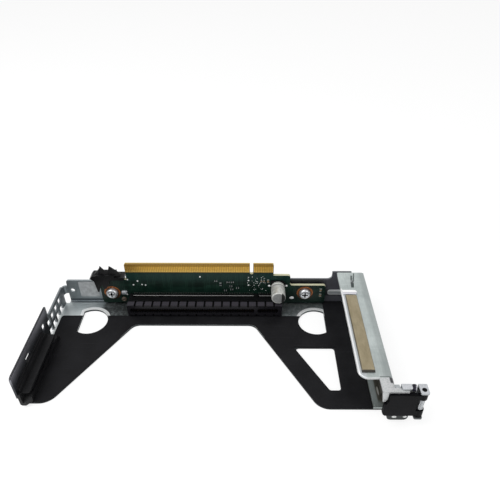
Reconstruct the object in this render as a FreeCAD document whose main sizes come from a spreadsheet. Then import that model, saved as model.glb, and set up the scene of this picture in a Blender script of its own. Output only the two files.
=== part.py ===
import FreeCAD, Part
import math
import os
import Sketcher
from FreeCAD import Placement, Rotation, Vector

# A riser card for a flat server, screwed into its folded steel bracket.
# The assembly lies on the bracket's top plate, as it does on a bench:
# the card's gold edge points up and the x16 slot faces the front.
# X runs along the card to the right, Y away from the viewer, Z up.
# The origin is on the plate's outer face, under the middle of the gold edge,
# in the plane of the board's front face. Lengths are millimetres.

SIZES = {
    # Folded bracket: plate on the floor, back wall and left end wall
    "steel_thickness": 1.0,
    "bend_radius": 0.8,
    "plate_left": 82.65,
    "plate_overlap": 0.55,
    "front_depth": 73.3,
    "left_arm_depth": 70.5,
    "bridge_depth": 17.3,
    "left_arm_top": 37.0,
    "left_arm_foot": 69.4,
    "right_arm_top": 31.3,
    "right_arm_foot": 63.1,
    "bridge_rounding": 6.0,
    "foot_rounding": 9.0,
    "window_back": 34.5,
    "window_margin": 10.5,
    "window_right": 74.8,
    "window_left": 53.0,
    "window_tip": 69.2,
    "window_rounding": 1.6,
    "finger_radius": 9.7,
    "finger_flat": 5.5,
    "finger_depth": 15.0,
    "finger_left": 62.9,
    "finger_right": 66.6,
    "lip_width": 1.7,
    "lip_height": 0.5,
    "corner_relief": 3.3,
    # Back wall
    "corner_low": 6.9,
    "corner_high": 12.4,
    "corner_margin": 0.2,
    "wall_low": 16.7,
    "wall_high": 18.2,
    "wall_rise": 46.0,
    "ear_height": 23.55,
    "ear_left": 76.6,
    "ear_width": 11.0,
    "ear_rounding": 2.6,
    "wall_end_height": 21.8,
    "bead_left": 74.9,
    "bead_right": 83.4,
    "bead_level": 8.4,
    "bead_width": 3.4,
    "bead_height": 0.6,
    "pilot_hole": 76.6,
    "pilot_radius": 1.25,
    "pilot_level": 9.1,
    "wall_rounding": 1.5,
    # Left end wall
    "end_wall_low": 13.4,
    "end_wall_high": 20.3,
    "end_wall_step": 23.5,
    "end_wall_reach": 1.6,
    "end_wall_toe": 6.0,
    "vent_size": 3.9,
    "vent_pitch": 5.9,
    "vent_first": 6.6,
    "vent_upper": 9.3,
    "vent_lower": 3.3,
    "sight_hole_depth": 31.0,
    "sight_hole_level": 13.0,
    "sight_hole_width": 3.6,
    "sight_slot_depth": 53.3,
    "sight_slot_level": 14.6,
    "sight_slot_length": 5.4,
    "sight_slot_width": 2.2,
    # Insulating film
    "film_thickness": 0.25,
    "film_back": 10.4,
    "film_inset": 0.15,
    "film_right": 88.35,
    "film_tail": 72.4,
    "film_flap_right": 83.9,
    "film_flap_height": 6.2,
    # Riser board
    "board_thickness": 1.6,
    "standoff_height": 1.3,
    "board_left": 58.6,
    "board_right": 73.1,
    "board_bottom": 2.2,
    "left_ear_top": 19.8,
    "right_ear_top": 15.8,
    "shoulder_top": 23.2,
    "shoulder_right": 52.2,
    "tongue_length": 84.9,
    "tongue_top": 31.5,
    "key_offset": 71.35,
    "key_width": 1.9,
    "key_bottom": 24.2,
    "tongue_bevel": 0.45,
    "board_rounding": 1.5,
    "contact_pitch": 1.0,
    "finger_pad_width": 0.78,
    "finger_pad_height": 5.4,
    "plating": 0.05,
    # Board screws and their standoffs
    "screw_left": 52.1,
    "screw_right": 61.2,
    "screw_level": 10.0,
    "screw_hole_radius": 1.75,
    "screw_shank_radius": 1.45,
    "screw_head_radius": 3.4,
    "screw_head_height": 2.1,
    "screw_length": 6.4,
    "recess_depth": 1.2,
    "recess_width": 0.9,
    "recess_length": 3.6,
    "ring_radius": 4.8,
    "standoff_radius": 2.9,
    "standoff_spigot": 2.1,
    "standoff_bore": 1.5,
    "press_gap": 0.02,
    # x16 slot
    "slot_middle": 2.9,
    "slot_length": 89.0,
    "slot_level": 6.05,
    "slot_height": 11.25,
    "slot_foot": 0.6,
    "slot_width": 6.9,
    "collar_width": 7.5,
    "collar_height": 3.6,
    "collar_groove": 1.1,
    "groove_depth": 1.0,
    "collar_pitch": 5.0,
    "mouth_width": 1.85,
    "mouth_depth": 8.9,
    "slot_long": 71.6,
    "slot_short": 11.9,
    "slot_key": 1.8,
    "slot_left_wall": 1.5,
    "cell_width": 0.62,
    "cell_depth": 0.85,
    "window_height": 2.2,
    "spring_width": 0.4,
    "spring_thickness": 0.16,
    # Capacitor
    "can_radius": 4.0,
    "can_height": 11.0,
    "can_inset": 2.25,
    "can_level": 15.5,
    "can_base": 0.9,
    "can_base_width": 8.3,
    "can_lead_reach": 5.2,
    "can_lead_width": 1.0,
    "can_lead_thickness": 0.2,
    # Small parts on the board
    "chip_height": 0.7,
    "terminal": 0.35,
    # Plastic clip on the wall's top edge
    "clip_left": 63.4,
    "clip_right": 43.6,
    "clip_bottom": 20.0,
    "clip_arm_top": 21.9,
    "clip_top": 23.4,
    "clip_prong_top": 28.1,
    "clip_prong_left": 57.0,
    "clip_prong_right": 51.7,
    "clip_prong_radius": 1.5,
    "clip_front": 1.0,
    "clip_back": 1.0,
    "clip_foot_bottom": 11.2,
    "clip_heel_bottom": 13.6,
    "clip_fit": 0.1,
    # Card guide on the end wall
    "guide_back": 27.6,
    "guide_heel": 8.5,
    "guide_nose": 2.1,
    "guide_wall": 1.4,
    "guide_lip": 0.7,
    "guide_lip_height": 2.0,
    "guide_top": 13.3,
    "guide_reach": 5.2,
    "guide_rib": 1.5,
    "guide_groove": 2.0,
    "guide_flare": 2.2,
    "guide_toe_in": 2.6,
    # Rear frame: shelf, connector wall and flanges, measured from its right face
    "shelf_level": 23.85,
    "frame_right": 94.55,
    "shelf_width": 15.6,
    "shelf_overhang": 0.3,
    "shelf_rounding": 4.6,
    "rim_rounding": 0.7,
    "ledge_width": 6.35,
    "ledge_length": 5.5,
    "ledge_waist": 0.7,
    "ledge_reach": 3.0,
    "lip_drop": 6.0,
    "ledge_lip_width": 2.9,
    "seat_reach": 4.9,
    "seat_width": 8.9,
    "seat_bottom": 0.6,
    "wall_toe": 3.2,
    "flange_width": 5.95,
    "rear_flange_width": 10.05,
    "port_back": 10.0,
    "port_margin": 7.3,
    "port_bottom": 8.0,
    "port_top": 19.8,
    "port_rounding": 2.0,
    "shelf_bead_depth": 15.3,
    "shelf_bead_end": 7.0,
    "shelf_bead_height": 0.8,
    "slit_inset": 5.9,
    "slit_length": 12.4,
    # Conductive gasket
    "gasket_inset": 1.7,
    "gasket_width": 6.4,
    "gasket_back": 17.6,
    "gasket_margin": 3.0,
    "gasket_height": 1.3,
    # Rivets
    "rivet_radius": 1.5,
    "rivet_head_radius": 2.3,
    "rivet_head_height": 0.7,
    "rivet_inset": 3.55,
    "rivet_first": 10.0,
    "rivet_pitch": 20.0,
    "rivet_wall_inset": 5.65,
    "rivet_wall_level": 6.5,
    "rivet_wall_pitch": 10.0,
    # Card latch and its bracket
    "latch_steel": 0.8,
    "hinge_offset": 12.15,
    "hinge_reach": 2.4,
    "hinge_radius": 0.9,
    "running_gap": 0.05,
    "knuckle_radius": 2.0,
    "hinge_tab_inner": 2.2,
    "hinge_tab_outer": 1.7,
    "hinge_tab_reach": 4.8,
    "upper_tab_level": 24.0,
    "lower_tab_level": 6.3,
    "rest_tab_offset": 2.4,
    "rest_tab_width": 4.6,
    "rest_tab_reach": 2.2,
    "heel_tab_reach": 2.5,
    "tab_notch": 3.6,
    "latch_length": 16.9,
    "latch_bottom": 8.2,
    "latch_top": 22.5,
    "latch_thickness": 2.0,
    "latch_corner": 1.1,
    "upper_knuckle_bottom": 19.4,
    "lower_knuckle_top": 11.7,
    "latch_gap": 0.2,
    "spring_coils": 11.0,
    "spring_wire": 0.5,
    "spring_gap": 0.15,
    "pin_head_radius": 1.5,
    "pin_head_height": 0.6,
}

doc = FreeCAD.newDocument("riser_assembly")
sheet = doc.addObject("Spreadsheet::Sheet", "Sizes")
for row, (alias, length) in enumerate(SIZES.items(), start=1):
    sheet.set(f"A{row}", alias.replace("_", " "))
    sheet.set(f"B{row}", str(length))
    sheet.setAlias(f"B{row}", alias)
doc.recompute()


class Size:
    """A length with the expression that gives it from the sheet."""

    def __init__(self, value, text):
        self.value = float(value)
        self.text = text

    def __add__(self, other):
        other = as_size(other)
        return Size(self.value + other.value, f"({self.text} + {other.text})")

    def __sub__(self, other):
        other = as_size(other)
        return Size(self.value - other.value, f"({self.text} - {other.text})")

    def __radd__(self, other):
        return as_size(other) + self

    def __rsub__(self, other):
        return as_size(other) - self

    def __mul__(self, factor):
        return Size(self.value * factor, f"({self.text} * {factor})")

    def __neg__(self):
        return Size(-self.value, f"(-1 * {self.text})")

    def half(self):
        return self * 0.5


def as_size(length):
    """Gives a plain number the same form as a length of the sheet."""
    if isinstance(length, Size):
        return length
    return Size(length, f"({float(length)})")


class Sheet:
    """Reads the driving lengths by name."""

    def __getattr__(self, alias):
        return Size(sheet.get(alias), "Sizes." + alias)


S = Sheet()
wall_face = S.board_thickness + S.standoff_height
plate_top = S.steel_thickness
outer_bend = S.bend_radius + S.steel_thickness
film_top = plate_top + S.film_thickness
tongue_left = -S.tongue_length.half()
tongue_right = S.tongue_length.half()
slot_left = S.slot_middle - S.slot_length.half()
slot_right = S.slot_middle + S.slot_length.half()
cavity_left = slot_left + S.slot_left_wall
key_left = cavity_left + S.slot_long
key_right = key_left + S.slot_key
cavity_right = key_right + S.slot_short
can_place = slot_right - S.can_inset
end_wall_face = S.steel_thickness - S.plate_left
end_wall_front = S.left_arm_depth + S.end_wall_reach
guide_front = S.left_arm_depth + S.guide_nose
wall_left = S.plate_left - S.corner_relief
wall_back = wall_face + S.steel_thickness
window_front = S.front_depth - S.window_margin
ear_right = S.ear_left + S.ear_width
plate_right = S.frame_right - S.plate_overlap
wall_right = plate_right - S.steel_thickness
shelf_under = S.shelf_level - S.steel_thickness
shelf_left = S.frame_right - S.shelf_width
shelf_front = S.front_depth + S.shelf_overhang
port_front = S.front_depth - S.port_margin
seat_depth = S.front_depth + S.seat_reach
ledge_left = S.frame_right - S.ledge_width
ledge_front = seat_depth + S.ledge_reach
rivet_line = S.frame_right - S.rivet_inset
rivet_wall_place = S.frame_right - S.rivet_wall_inset
hinge_place = S.frame_right + S.hinge_offset
hinge_depth = seat_depth + S.hinge_reach
hinge_tab_left = hinge_place - S.hinge_tab_inner
hinge_tab_right = hinge_place + S.hinge_tab_outer
latch_left = hinge_place - S.latch_length

sub_parts = []


def keep(piece, label):
    """Names a sub-part and puts it on the list that is written out."""
    piece.Label = label
    sub_parts.append(piece)
    return piece


def new_body(label):
    return keep(doc.addObject("PartDesign::Body", label), label)


def sketch_on(body, role, name, offset=None):
    """A sketch on one of the body's own origin planes, moved along its normal."""
    sketch = body.newObject("Sketcher::SketchObject", name)
    plane = [item for item in body.Origin.OriginFeatures if item.Role == role][0]
    sketch.AttachmentSupport = [(plane, "")]
    sketch.MapMode = "FlatFace"
    if offset is not None:
        sketch.AttachmentOffset = Placement(Vector(0, 0, offset.value), Rotation())
        sketch.setExpression("AttachmentOffset.Base.z", offset.text)
    return sketch


def hold(sketch, geometry, point, x, y):
    """Ties a point of the sketch to its two distances from the origin."""
    for kind, length in (("DistanceX", x), ("DistanceY", y)):
        length = as_size(length)
        rule = Sketcher.Constraint(kind, -1, 1, geometry, point, length.value)
        index = sketch.addConstraint(rule)
        sketch.setExpression(f"Constraints[{index}]", length.text)


def outline(sketch, corners):
    """A closed outline of straight edges through the given corners."""
    first = sketch.GeometryCount
    corners = [(as_size(x), as_size(y)) for x, y in corners]
    count = len(corners)
    for index in range(count):
        x, y = corners[index]
        next_x, next_y = corners[(index + 1) % count]
        start = Vector(x.value, y.value, 0)
        end = Vector(next_x.value, next_y.value, 0)
        sketch.addGeometry(Part.LineSegment(start, end), False)
    for index in range(count):
        following = first + (index + 1) % count
        sketch.addConstraint(Sketcher.Constraint("Coincident", first + index, 2, following, 1))
    for index, (x, y) in enumerate(corners):
        hold(sketch, first + index, 1, x, y)


def rectangle(sketch, left, right, low, high):
    outline(sketch, [(left, low), (right, low), (right, high), (left, high)])


def circle(sketch, x, y, radius):
    x, y, radius = as_size(x), as_size(y), as_size(radius)
    ring = Part.Circle(Vector(x.value, y.value, 0), Vector(0, 0, 1), radius.value)
    index = sketch.addGeometry(ring, False)
    rule = sketch.addConstraint(Sketcher.Constraint("Radius", index, radius.value))
    sketch.setExpression(f"Constraints[{rule}]", radius.text)
    hold(sketch, index, 3, x, y)


def pad(body, sketch, length, name, back=False):
    """Adds material along the sketch's normal, or against it."""
    feature = body.newObject("PartDesign::Pad", name)
    feature.Profile = sketch
    feature.Length = length.value
    feature.setExpression("Length", length.text)
    feature.Reversed = back
    sketch.Visibility = False
    doc.recompute()
    return feature


def pocket(body, sketch, length, name, along=False):
    """Cuts against the sketch's normal, or along it, and proves that it cut."""
    before = body.Shape.Volume
    feature = body.newObject("PartDesign::Pocket", name)
    feature.Profile = sketch
    feature.Length = length.value
    feature.setExpression("Length", length.text)
    feature.Reversed = along
    sketch.Visibility = False
    doc.recompute()
    if not body.Shape.Volume < before:
        raise RuntimeError(f"{name} cut nothing")
    return feature


def edges_at(shape, axis, places, tolerance=0.02):
    """Names the straight edges along an axis that pass through the given places."""
    across = [index for index in range(3) if index != axis]
    names = []
    for number, edge in enumerate(shape.Edges, start=1):
        first, last = edge.Vertexes[0].Point, edge.Vertexes[-1].Point
        span = last - first
        if abs(span[axis]) < 1e-6 or any(abs(span[index]) > 1e-6 for index in across):
            continue
        for place in places:
            gaps = [abs(first[index] - as_size(place[k]).value) for k, index in enumerate(across)]
            if max(gaps) < tolerance:
                names.append(f"Edge{number}")
                break
    return names


def ease(body, kind, radius, name, axis, places):
    """Rounds or bevels the edges along an axis at the given places."""
    doc.recompute()
    base = body.Tip
    names = edges_at(base.Shape, axis, places)
    if not names:
        raise RuntimeError(f"{name} found no edge")
    feature = body.newObject("PartDesign::" + kind, name)
    feature.Base = (base, names)
    target = "Radius" if kind == "Fillet" else "Size"
    setattr(feature, target, radius.value)
    feature.setExpression(target, radius.text)
    doc.recompute()
    if "Invalid" in feature.State:
        raise RuntimeError(f"{name} could not be made")
    return feature


def round_edges(body, radius, name, axis, places):
    return ease(body, "Fillet", radius, name, axis, places)


def bevel_edges(body, radius, name, axis, places):
    return ease(body, "Chamfer", radius, name, axis, places)


def box(left, right, low_y, high_y, low_z, high_z):
    """A block between two corners, for groups of small parts."""
    sides = [as_size(side).value for side in (left, right, low_y, high_y, low_z, high_z)]
    x0, x1, y0, y1, z0, z1 = sides
    return Part.makeBox(x1 - x0, y1 - y0, z1 - z0, Vector(x0, y0, z0))


def rod(radius, start, end, direction, place):
    """A round bar along a direction, from one level to another."""
    direction = Vector(*direction)
    foot = Vector(*place) + direction * start
    return Part.makeCylinder(radius, end - start, foot, direction)


def group(label, solids):
    """Small like parts that stay separate solids under one name."""
    feature = doc.addObject("Part::Feature", label)
    feature.Shape = Part.makeCompound(solids)
    return keep(feature, label)


X_AXIS, Y_AXIS, Z_AXIS = 0, 1, 2
TO_FRONT = (0, -1, 0)
TO_BACK = (0, 1, 0)
screw_places = [(-S.screw_left, S.screw_level), (S.screw_right, S.screw_level)]
finger_places = [(-S.finger_left, -1, S.lip_width), (S.finger_right, 1, S.film_inset)]


def finger_outline(body, level, name, growth):
    """One pad or cut for both finger holes: a disc with a flat on its outer side."""
    sketch = sketch_on(body, "XY_Plane", name, level)
    for middle, _, _ in finger_places:
        circle(sketch, middle, -S.finger_depth, S.finger_radius + growth)
    return sketch


def finger_cutter(label, low, high, growth):
    """The finger holes as solids, grown evenly on all sides."""
    solids = []
    for middle, side, _ in finger_places:
        radius = S.finger_radius.value + growth
        centre = (middle.value, -S.finger_depth.value, low)
        disc = Part.makeCylinder(radius, high - low, Vector(*centre))
        flat = S.finger_flat.value + growth
        reach = 2 * radius
        left = centre[0] + (-flat if side < 0 else flat - reach)
        keep_box = Part.makeBox(reach, 2 * reach, high - low, Vector(left, centre[1] - reach, low))
        solids.append(disc.common(keep_box))
    cutter = doc.addObject("Part::Feature", label)
    cutter.Shape = Part.makeCompound(solids)
    return cutter


def cut(label, base, tool):
    """Takes one shape out of another and checks that it did."""
    feature = doc.addObject("Part::Cut", label)
    feature.Base = base
    feature.Tool = tool
    feature.Refine = True
    doc.recompute()
    if not feature.Shape.Volume < base.Shape.Volume:
        raise RuntimeError(f"{label} cut nothing")
    return feature


def make_bracket_frame():
    """The folded sheet: plate with two arms, back wall and left end wall."""
    body = doc.addObject("PartDesign::Body", "bracket_sheet")
    back = wall_back
    relief = S.corner_relief
    plate = sketch_on(body, "XY_Plane", "plate_outline")
    outline(plate, [
        (-S.plate_left, back - relief), (-wall_left, back - relief),
        (-wall_left, back), (wall_right, back), (wall_right, back - relief),
        (plate_right, back - relief), (plate_right, -S.front_depth),
        (S.right_arm_foot, -S.front_depth),
        (S.right_arm_top, -S.bridge_depth), (-S.left_arm_top, -S.bridge_depth),
        (-S.left_arm_foot, -S.left_arm_depth), (-S.plate_left, -S.left_arm_depth),
    ])
    pad(body, plate, S.steel_thickness, "plate")
    round_edges(body, S.bridge_rounding, "bridge_corners", Z_AXIS,
                [(S.right_arm_top, -S.bridge_depth), (-S.left_arm_top, -S.bridge_depth)])
    round_edges(body, S.foot_rounding, "foot_corners", Z_AXIS,
                [(S.right_arm_foot, -S.front_depth), (-S.left_arm_foot, -S.left_arm_depth)])

    wall = sketch_on(body, "XZ_Plane", "back_wall_outline", -back)
    outline(wall, [
        (-wall_left, 0), (wall_right, 0), (wall_right, S.wall_end_height),
        (ear_right, S.wall_end_height), (ear_right, S.ear_height),
        (S.ear_left, S.ear_height), (S.ear_left, S.wall_high),
        (-S.wall_rise, S.wall_high), (-S.wall_rise, S.wall_low), (-wall_left, S.wall_low),
    ])
    pad(body, wall, S.steel_thickness, "back_wall")
    round_edges(body, S.ear_rounding, "ear_sweep", Y_AXIS, [(S.ear_left, S.wall_high)])
    round_edges(body, S.wall_rounding, "wall_corner", Y_AXIS, [(-wall_left, S.wall_low)])

    end_wall = sketch_on(body, "YZ_Plane", "end_wall_outline", -S.plate_left)
    outline(end_wall, [
        (back - relief, 0), (back - relief, S.end_wall_low),
        (-S.end_wall_step, S.end_wall_low), (-S.end_wall_step, S.end_wall_high),
        (-end_wall_front, S.end_wall_high), (-end_wall_front, S.end_wall_toe),
        (-S.left_arm_depth, S.end_wall_toe), (-S.left_arm_depth, 0),
    ])
    pad(body, end_wall, S.steel_thickness, "end_wall")
    round_edges(body, S.bend_radius * 2.5, "end_wall_corners", X_AXIS,
                [(-S.end_wall_step, S.end_wall_low), (-end_wall_front, S.end_wall_high)])

    corner = sketch_on(body, "XY_Plane", "corner_outline", S.corner_low)
    outline(corner, [
        (-S.plate_left, back - relief), (-S.plate_left, back), (-wall_left, back),
        (-wall_left, wall_face), (end_wall_face, wall_face), (end_wall_face, back - relief),
    ])
    pad(body, corner, S.corner_high - S.corner_low, "corner_bend")
    inner_corner = relief - S.steel_thickness - S.corner_margin
    round_edges(body, inner_corner, "corner_inside", Z_AXIS, [(end_wall_face, wall_face)])
    round_edges(body, inner_corner + S.steel_thickness, "corner_outside", Z_AXIS, [(-S.plate_left, back)])

    inner_back, inner_left = wall_face, S.steel_thickness - S.plate_left
    round_edges(body, S.bend_radius, "inner_bend_back", X_AXIS, [(inner_back, plate_top)])
    round_edges(body, S.bend_radius, "inner_bend_left", Y_AXIS, [(inner_left, plate_top)])
    round_edges(body, outer_bend, "outer_bend_back", X_AXIS, [(back, 0)])
    round_edges(body, outer_bend, "outer_bend_left", Y_AXIS, [(-S.plate_left, 0)])

    lips = finger_outline(body, plate_top, "lip_outline", S.lip_width)
    pad(body, lips, S.lip_height, "lips")
    trim = sketch_on(body, "XY_Plane", "lip_trim_outline", plate_top)
    for middle, side, past_flat in finger_places:
        reach = S.finger_radius + S.lip_width + 1
        flat = S.finger_flat + past_flat
        inner = middle - reach if side > 0 else middle - flat
        outer = middle + flat if side > 0 else middle + reach
        rectangle(trim, inner, outer, -S.finger_depth - reach, -S.film_back - S.film_inset)
        beyond = (outer, outer + S.finger_radius) if side > 0 else (inner - S.finger_radius, inner)
        rectangle(trim, beyond[0], beyond[1], -S.finger_depth - reach, reach - S.finger_depth)
    pocket(body, trim, S.lip_height, "lip_trim", along=True)

    window = sketch_on(body, "XY_Plane", "window_outline")
    outline(window, [
        (S.window_left, -S.window_back), (S.window_right, -S.window_back),
        (S.window_right, -window_front), (S.window_tip, -window_front),
    ])
    pocket(body, window, S.steel_thickness, "window", along=True)
    round_edges(body, S.window_rounding, "window_corners", Z_AXIS, [
        (S.window_left, -S.window_back), (S.window_right, -S.window_back),
        (S.window_right, -window_front), (S.window_tip, -window_front),
    ])

    bead = sketch_on(body, "XZ_Plane", "bead_outline", -wall_face)
    low = S.bead_level - S.bead_width.half()
    high = S.bead_level + S.bead_width.half()
    rectangle(bead, S.bead_left, S.bead_right, low, high)
    pad(body, bead, S.bead_height, "bead")
    round_edges(body, S.bead_width * 0.45, "bead_end", Y_AXIS, [(S.bead_left, low), (S.bead_left, high)])
    hollow = sketch_on(body, "XZ_Plane", "bead_hollow_outline", -back)
    rim = S.bead_width * 0.22
    rectangle(hollow, S.bead_left + rim, S.bead_right - rim, low + rim, high - rim)
    pocket(body, hollow, S.bead_height, "bead_hollow", along=True)

    holes = sketch_on(body, "XZ_Plane", "wall_holes_outline", -back)
    circle(holes, -S.pilot_hole, S.pilot_level, S.pilot_radius)
    for x, z in screw_places:
        circle(holes, x, z, S.standoff_spigot + S.press_gap)
    pocket(body, holes, S.steel_thickness, "wall_holes", along=True)

    vents = sketch_on(body, "YZ_Plane", "vent_outline", -S.plate_left)
    half_vent = S.vent_size.half()
    for level in (S.vent_upper, S.vent_lower):
        for number in range(4):
            middle = -S.vent_first - S.vent_pitch * number
            rectangle(vents, middle - half_vent, middle + half_vent, level - half_vent, level + half_vent)
    sight = S.sight_hole_width.half()
    rectangle(vents, -S.sight_hole_depth - sight, sight - S.sight_hole_depth,
              S.sight_hole_level - half_vent, S.sight_hole_level + half_vent)
    slot_half, slot_low = S.sight_slot_length.half(), S.sight_slot_level - S.sight_slot_width.half()
    rectangle(vents, -S.sight_slot_depth - slot_half, slot_half - S.sight_slot_depth,
              slot_low, slot_low + S.sight_slot_width)
    pocket(body, vents, outer_bend + S.steel_thickness, "vents", along=True)

    rivet_holes = sketch_on(body, "XY_Plane", "rivet_hole_outline")
    for number in range(3):
        depth = -S.rivet_first - S.rivet_pitch * number
        circle(rivet_holes, rivet_line, depth, S.rivet_radius + S.press_gap)
    pocket(body, rivet_holes, S.steel_thickness, "rivet_holes", along=True)
    wall_rivets = sketch_on(body, "XZ_Plane", "wall_rivet_outline", -back)
    for number in range(2):
        level = S.rivet_wall_level + S.rivet_wall_pitch * number
        circle(wall_rivets, rivet_wall_place, level, S.rivet_radius + S.press_gap)
    pocket(body, wall_rivets, S.steel_thickness, "wall_rivet_holes", along=True)

    reach = plate_top.value + S.lip_height.value + 1
    frame = cut("bracket_frame", body, finger_cutter("finger_holes", -1, reach, 0))
    return keep(frame, "bracket_frame")


def make_insulation_film():
    """Black film on the plate, with a tail that turns up the back wall."""
    body = doc.addObject("PartDesign::Body", "film_sheet")
    inset = S.film_inset
    left = end_wall_face + S.bend_radius + inset
    tail_back = wall_face - S.bend_radius
    base = sketch_on(body, "XY_Plane", "film_outline", plate_top)
    outline(base, [
        (left, -S.film_back), (S.film_tail, -S.film_back), (S.film_tail, tail_back),
        (S.film_right, tail_back), (S.film_right, inset - S.front_depth),
        (S.right_arm_foot + inset, inset - S.front_depth),
        (S.right_arm_top + inset, inset - S.bridge_depth),
        (-S.left_arm_top - inset, inset - S.bridge_depth),
        (-S.left_arm_foot - inset, inset - S.left_arm_depth), (left, inset - S.left_arm_depth),
    ])
    pad(body, base, S.film_thickness, "film")
    round_edges(body, S.bridge_rounding, "film_bridge_corners", Z_AXIS, [
        (S.right_arm_top + inset, inset - S.bridge_depth),
        (-S.left_arm_top - inset, inset - S.bridge_depth)])
    round_edges(body, S.foot_rounding, "film_foot_corners", Z_AXIS, [
        (S.right_arm_foot + inset, inset - S.front_depth),
        (-S.left_arm_foot - inset, inset - S.left_arm_depth)])
    round_edges(body, S.window_rounding, "film_back_corner", Z_AXIS, [(left, -S.film_back)])

    flap = sketch_on(body, "XZ_Plane", "film_flap_outline", -tail_back)
    rectangle(flap, S.film_tail, S.film_flap_right, plate_top, S.film_flap_height)
    pad(body, flap, S.film_thickness, "film_flap")

    window = sketch_on(body, "XY_Plane", "film_window_outline", plate_top)
    outline(window, [
        (S.window_left - inset, inset - S.window_back),
        (S.window_right + inset, inset - S.window_back),
        (S.window_right + inset, -window_front - inset),
        (S.window_tip - inset, -window_front - inset),
    ])
    pocket(body, window, S.film_thickness, "film_window", along=True)
    reach = film_top.value + 1
    film = cut("insulation_film", body, finger_cutter("film_holes", 0, reach, inset.value))
    return keep(film, "insulation_film")


def make_riser_board():
    """The printed board: gold tongue above, two ears with screw holes."""
    body = new_body("riser_board")
    key_start = tongue_left + S.key_offset
    key_end = key_start + S.key_width
    edge = sketch_on(body, "XZ_Plane", "board_outline", -S.board_thickness)
    outline(edge, [
        (-S.board_left, S.board_bottom), (S.board_right, S.board_bottom),
        (S.board_right, S.right_ear_top), (S.shoulder_right, S.right_ear_top),
        (S.shoulder_right, S.shoulder_top), (tongue_right, S.shoulder_top),
        (tongue_right, S.tongue_top), (key_end, S.tongue_top),
        (key_end, S.key_bottom), (key_start, S.key_bottom),
        (key_start, S.tongue_top), (tongue_left, S.tongue_top),
        (tongue_left, S.left_ear_top), (-S.board_left, S.left_ear_top),
    ])
    for x, z in screw_places:
        circle(edge, x, z, S.screw_hole_radius)
    pad(body, edge, S.board_thickness, "board")
    round_edges(body, S.key_width * 0.45, "key_bottom", Y_AXIS,
                [(key_start, S.key_bottom), (key_end, S.key_bottom)])
    round_edges(body, S.board_rounding, "board_corners", Y_AXIS, [
        (-S.board_left, S.board_bottom), (S.board_right, S.board_bottom),
        (S.board_right, S.right_ear_top), (-S.board_left, S.left_ear_top),
        (S.shoulder_right, S.shoulder_top), (S.shoulder_right, S.right_ear_top)])
    bevel_edges(body, S.tongue_bevel * 2, "tongue_corners", Y_AXIS,
                [(tongue_left, S.tongue_top), (tongue_right, S.tongue_top)])
    bevel_edges(body, S.tongue_bevel, "tongue_bevel", X_AXIS,
                [(0, S.tongue_top), (S.board_thickness, S.tongue_top)])


def finger_positions():
    """Middles of the gold fingers: the long row and the short row past the key."""
    left = tongue_left.value
    pitch = S.contact_pitch.value
    key_start = S.key_offset.value
    key_end = key_start + S.key_width.value
    short_length = S.tongue_length.value - key_end
    rows = []
    for start, length in ((0.0, key_start), (key_end, short_length)):
        count = int(length / pitch + 0.05)
        first = left + start + (length - (count - 1) * pitch) / 2
        rows += [first + number * pitch for number in range(count)]
    return rows


def make_edge_contacts():
    """Gold fingers on both faces of the tongue."""
    top = S.tongue_top - S.tongue_bevel
    low = top - S.finger_pad_height
    half = S.finger_pad_width.half()
    faces = {"edge_contacts_front": (-S.plating, as_size(0)),
             "edge_contacts_rear": (S.board_thickness, S.board_thickness + S.plating)}
    for label, (front, rear) in faces.items():
        solids = [box(x - half.value, x + half.value, front, rear, low, top) for x in finger_positions()]
        group(label, solids)


def make_screw_fixings():
    """Copper rings, pan head screws and the pressed standoffs behind the board."""
    rings, screws, standoffs = [], [], []
    head = S.screw_head_radius.value
    height = S.screw_head_height.value
    for x, z in screw_places:
        place = (x.value, 0, z.value)
        ring = rod(S.ring_radius.value, 0, S.plating.value, TO_FRONT, place)
        ring = ring.cut(rod(S.screw_hole_radius.value, -1, 1, TO_FRONT, place))
        rings.append(ring)

        crown = head * 0.62
        profile = Part.Wire([
            Part.LineSegment(Vector(0, 0, 0), Vector(head, 0, 0)).toShape(),
            Part.LineSegment(Vector(head, 0, 0), Vector(head, -height * 0.45, 0)).toShape(),
            Part.Arc(Vector(head, -height * 0.45, 0), Vector(head * 0.9, -height * 0.82, 0),
                     Vector(crown, -height, 0)).toShape(),
            Part.LineSegment(Vector(crown, -height, 0), Vector(0, -height, 0)).toShape(),
            Part.LineSegment(Vector(0, -height, 0), Vector(0, 0, 0)).toShape(),
        ])
        cap = Part.Face(profile).revolve(Vector(0, 0, 0), Vector(0, 1, 0), 360)
        half, reach = S.recess_width.value / 2, S.recess_length.value / 2
        depth = S.recess_depth.value
        for wide, tall in ((half, reach), (reach, half)):
            arm = Part.makeBox(2 * wide, depth + 1, 2 * tall, Vector(-wide, -height - 1, -tall))
            cap = cap.cut(arm)
        cap.translate(Vector(x.value, -S.plating.value, z.value))
        shank = rod(S.screw_shank_radius.value, -S.plating.value, S.screw_length.value - height,
                    TO_BACK, place)
        screws.append(cap.fuse(shank).removeSplitter())

        back = wall_face.value + S.steel_thickness.value
        sleeve = rod(S.standoff_radius.value, S.board_thickness.value, wall_face.value, TO_BACK, place)
        spigot = rod(S.standoff_spigot.value, S.board_thickness.value, back, TO_BACK, place)
        bore = rod(S.standoff_bore.value, 0, back + 1, TO_BACK, place)
        standoffs.append(sleeve.fuse(spigot).cut(bore).removeSplitter())
    group("ground_rings", rings)
    group("board_screws", screws)
    group("board_standoffs", standoffs)


def slot_positions():
    """Middles of the slot's contact cells along the card."""
    pitch = S.contact_pitch.value
    rows = []
    for start, end in ((cavity_left, key_left), (key_right, cavity_right)):
        length = end.value - start.value
        count = int(length / pitch - 0.3)
        first = start.value + (length - (count - 1) * pitch) / 2
        rows += [first + number * pitch for number in range(count)]
    return rows


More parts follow.
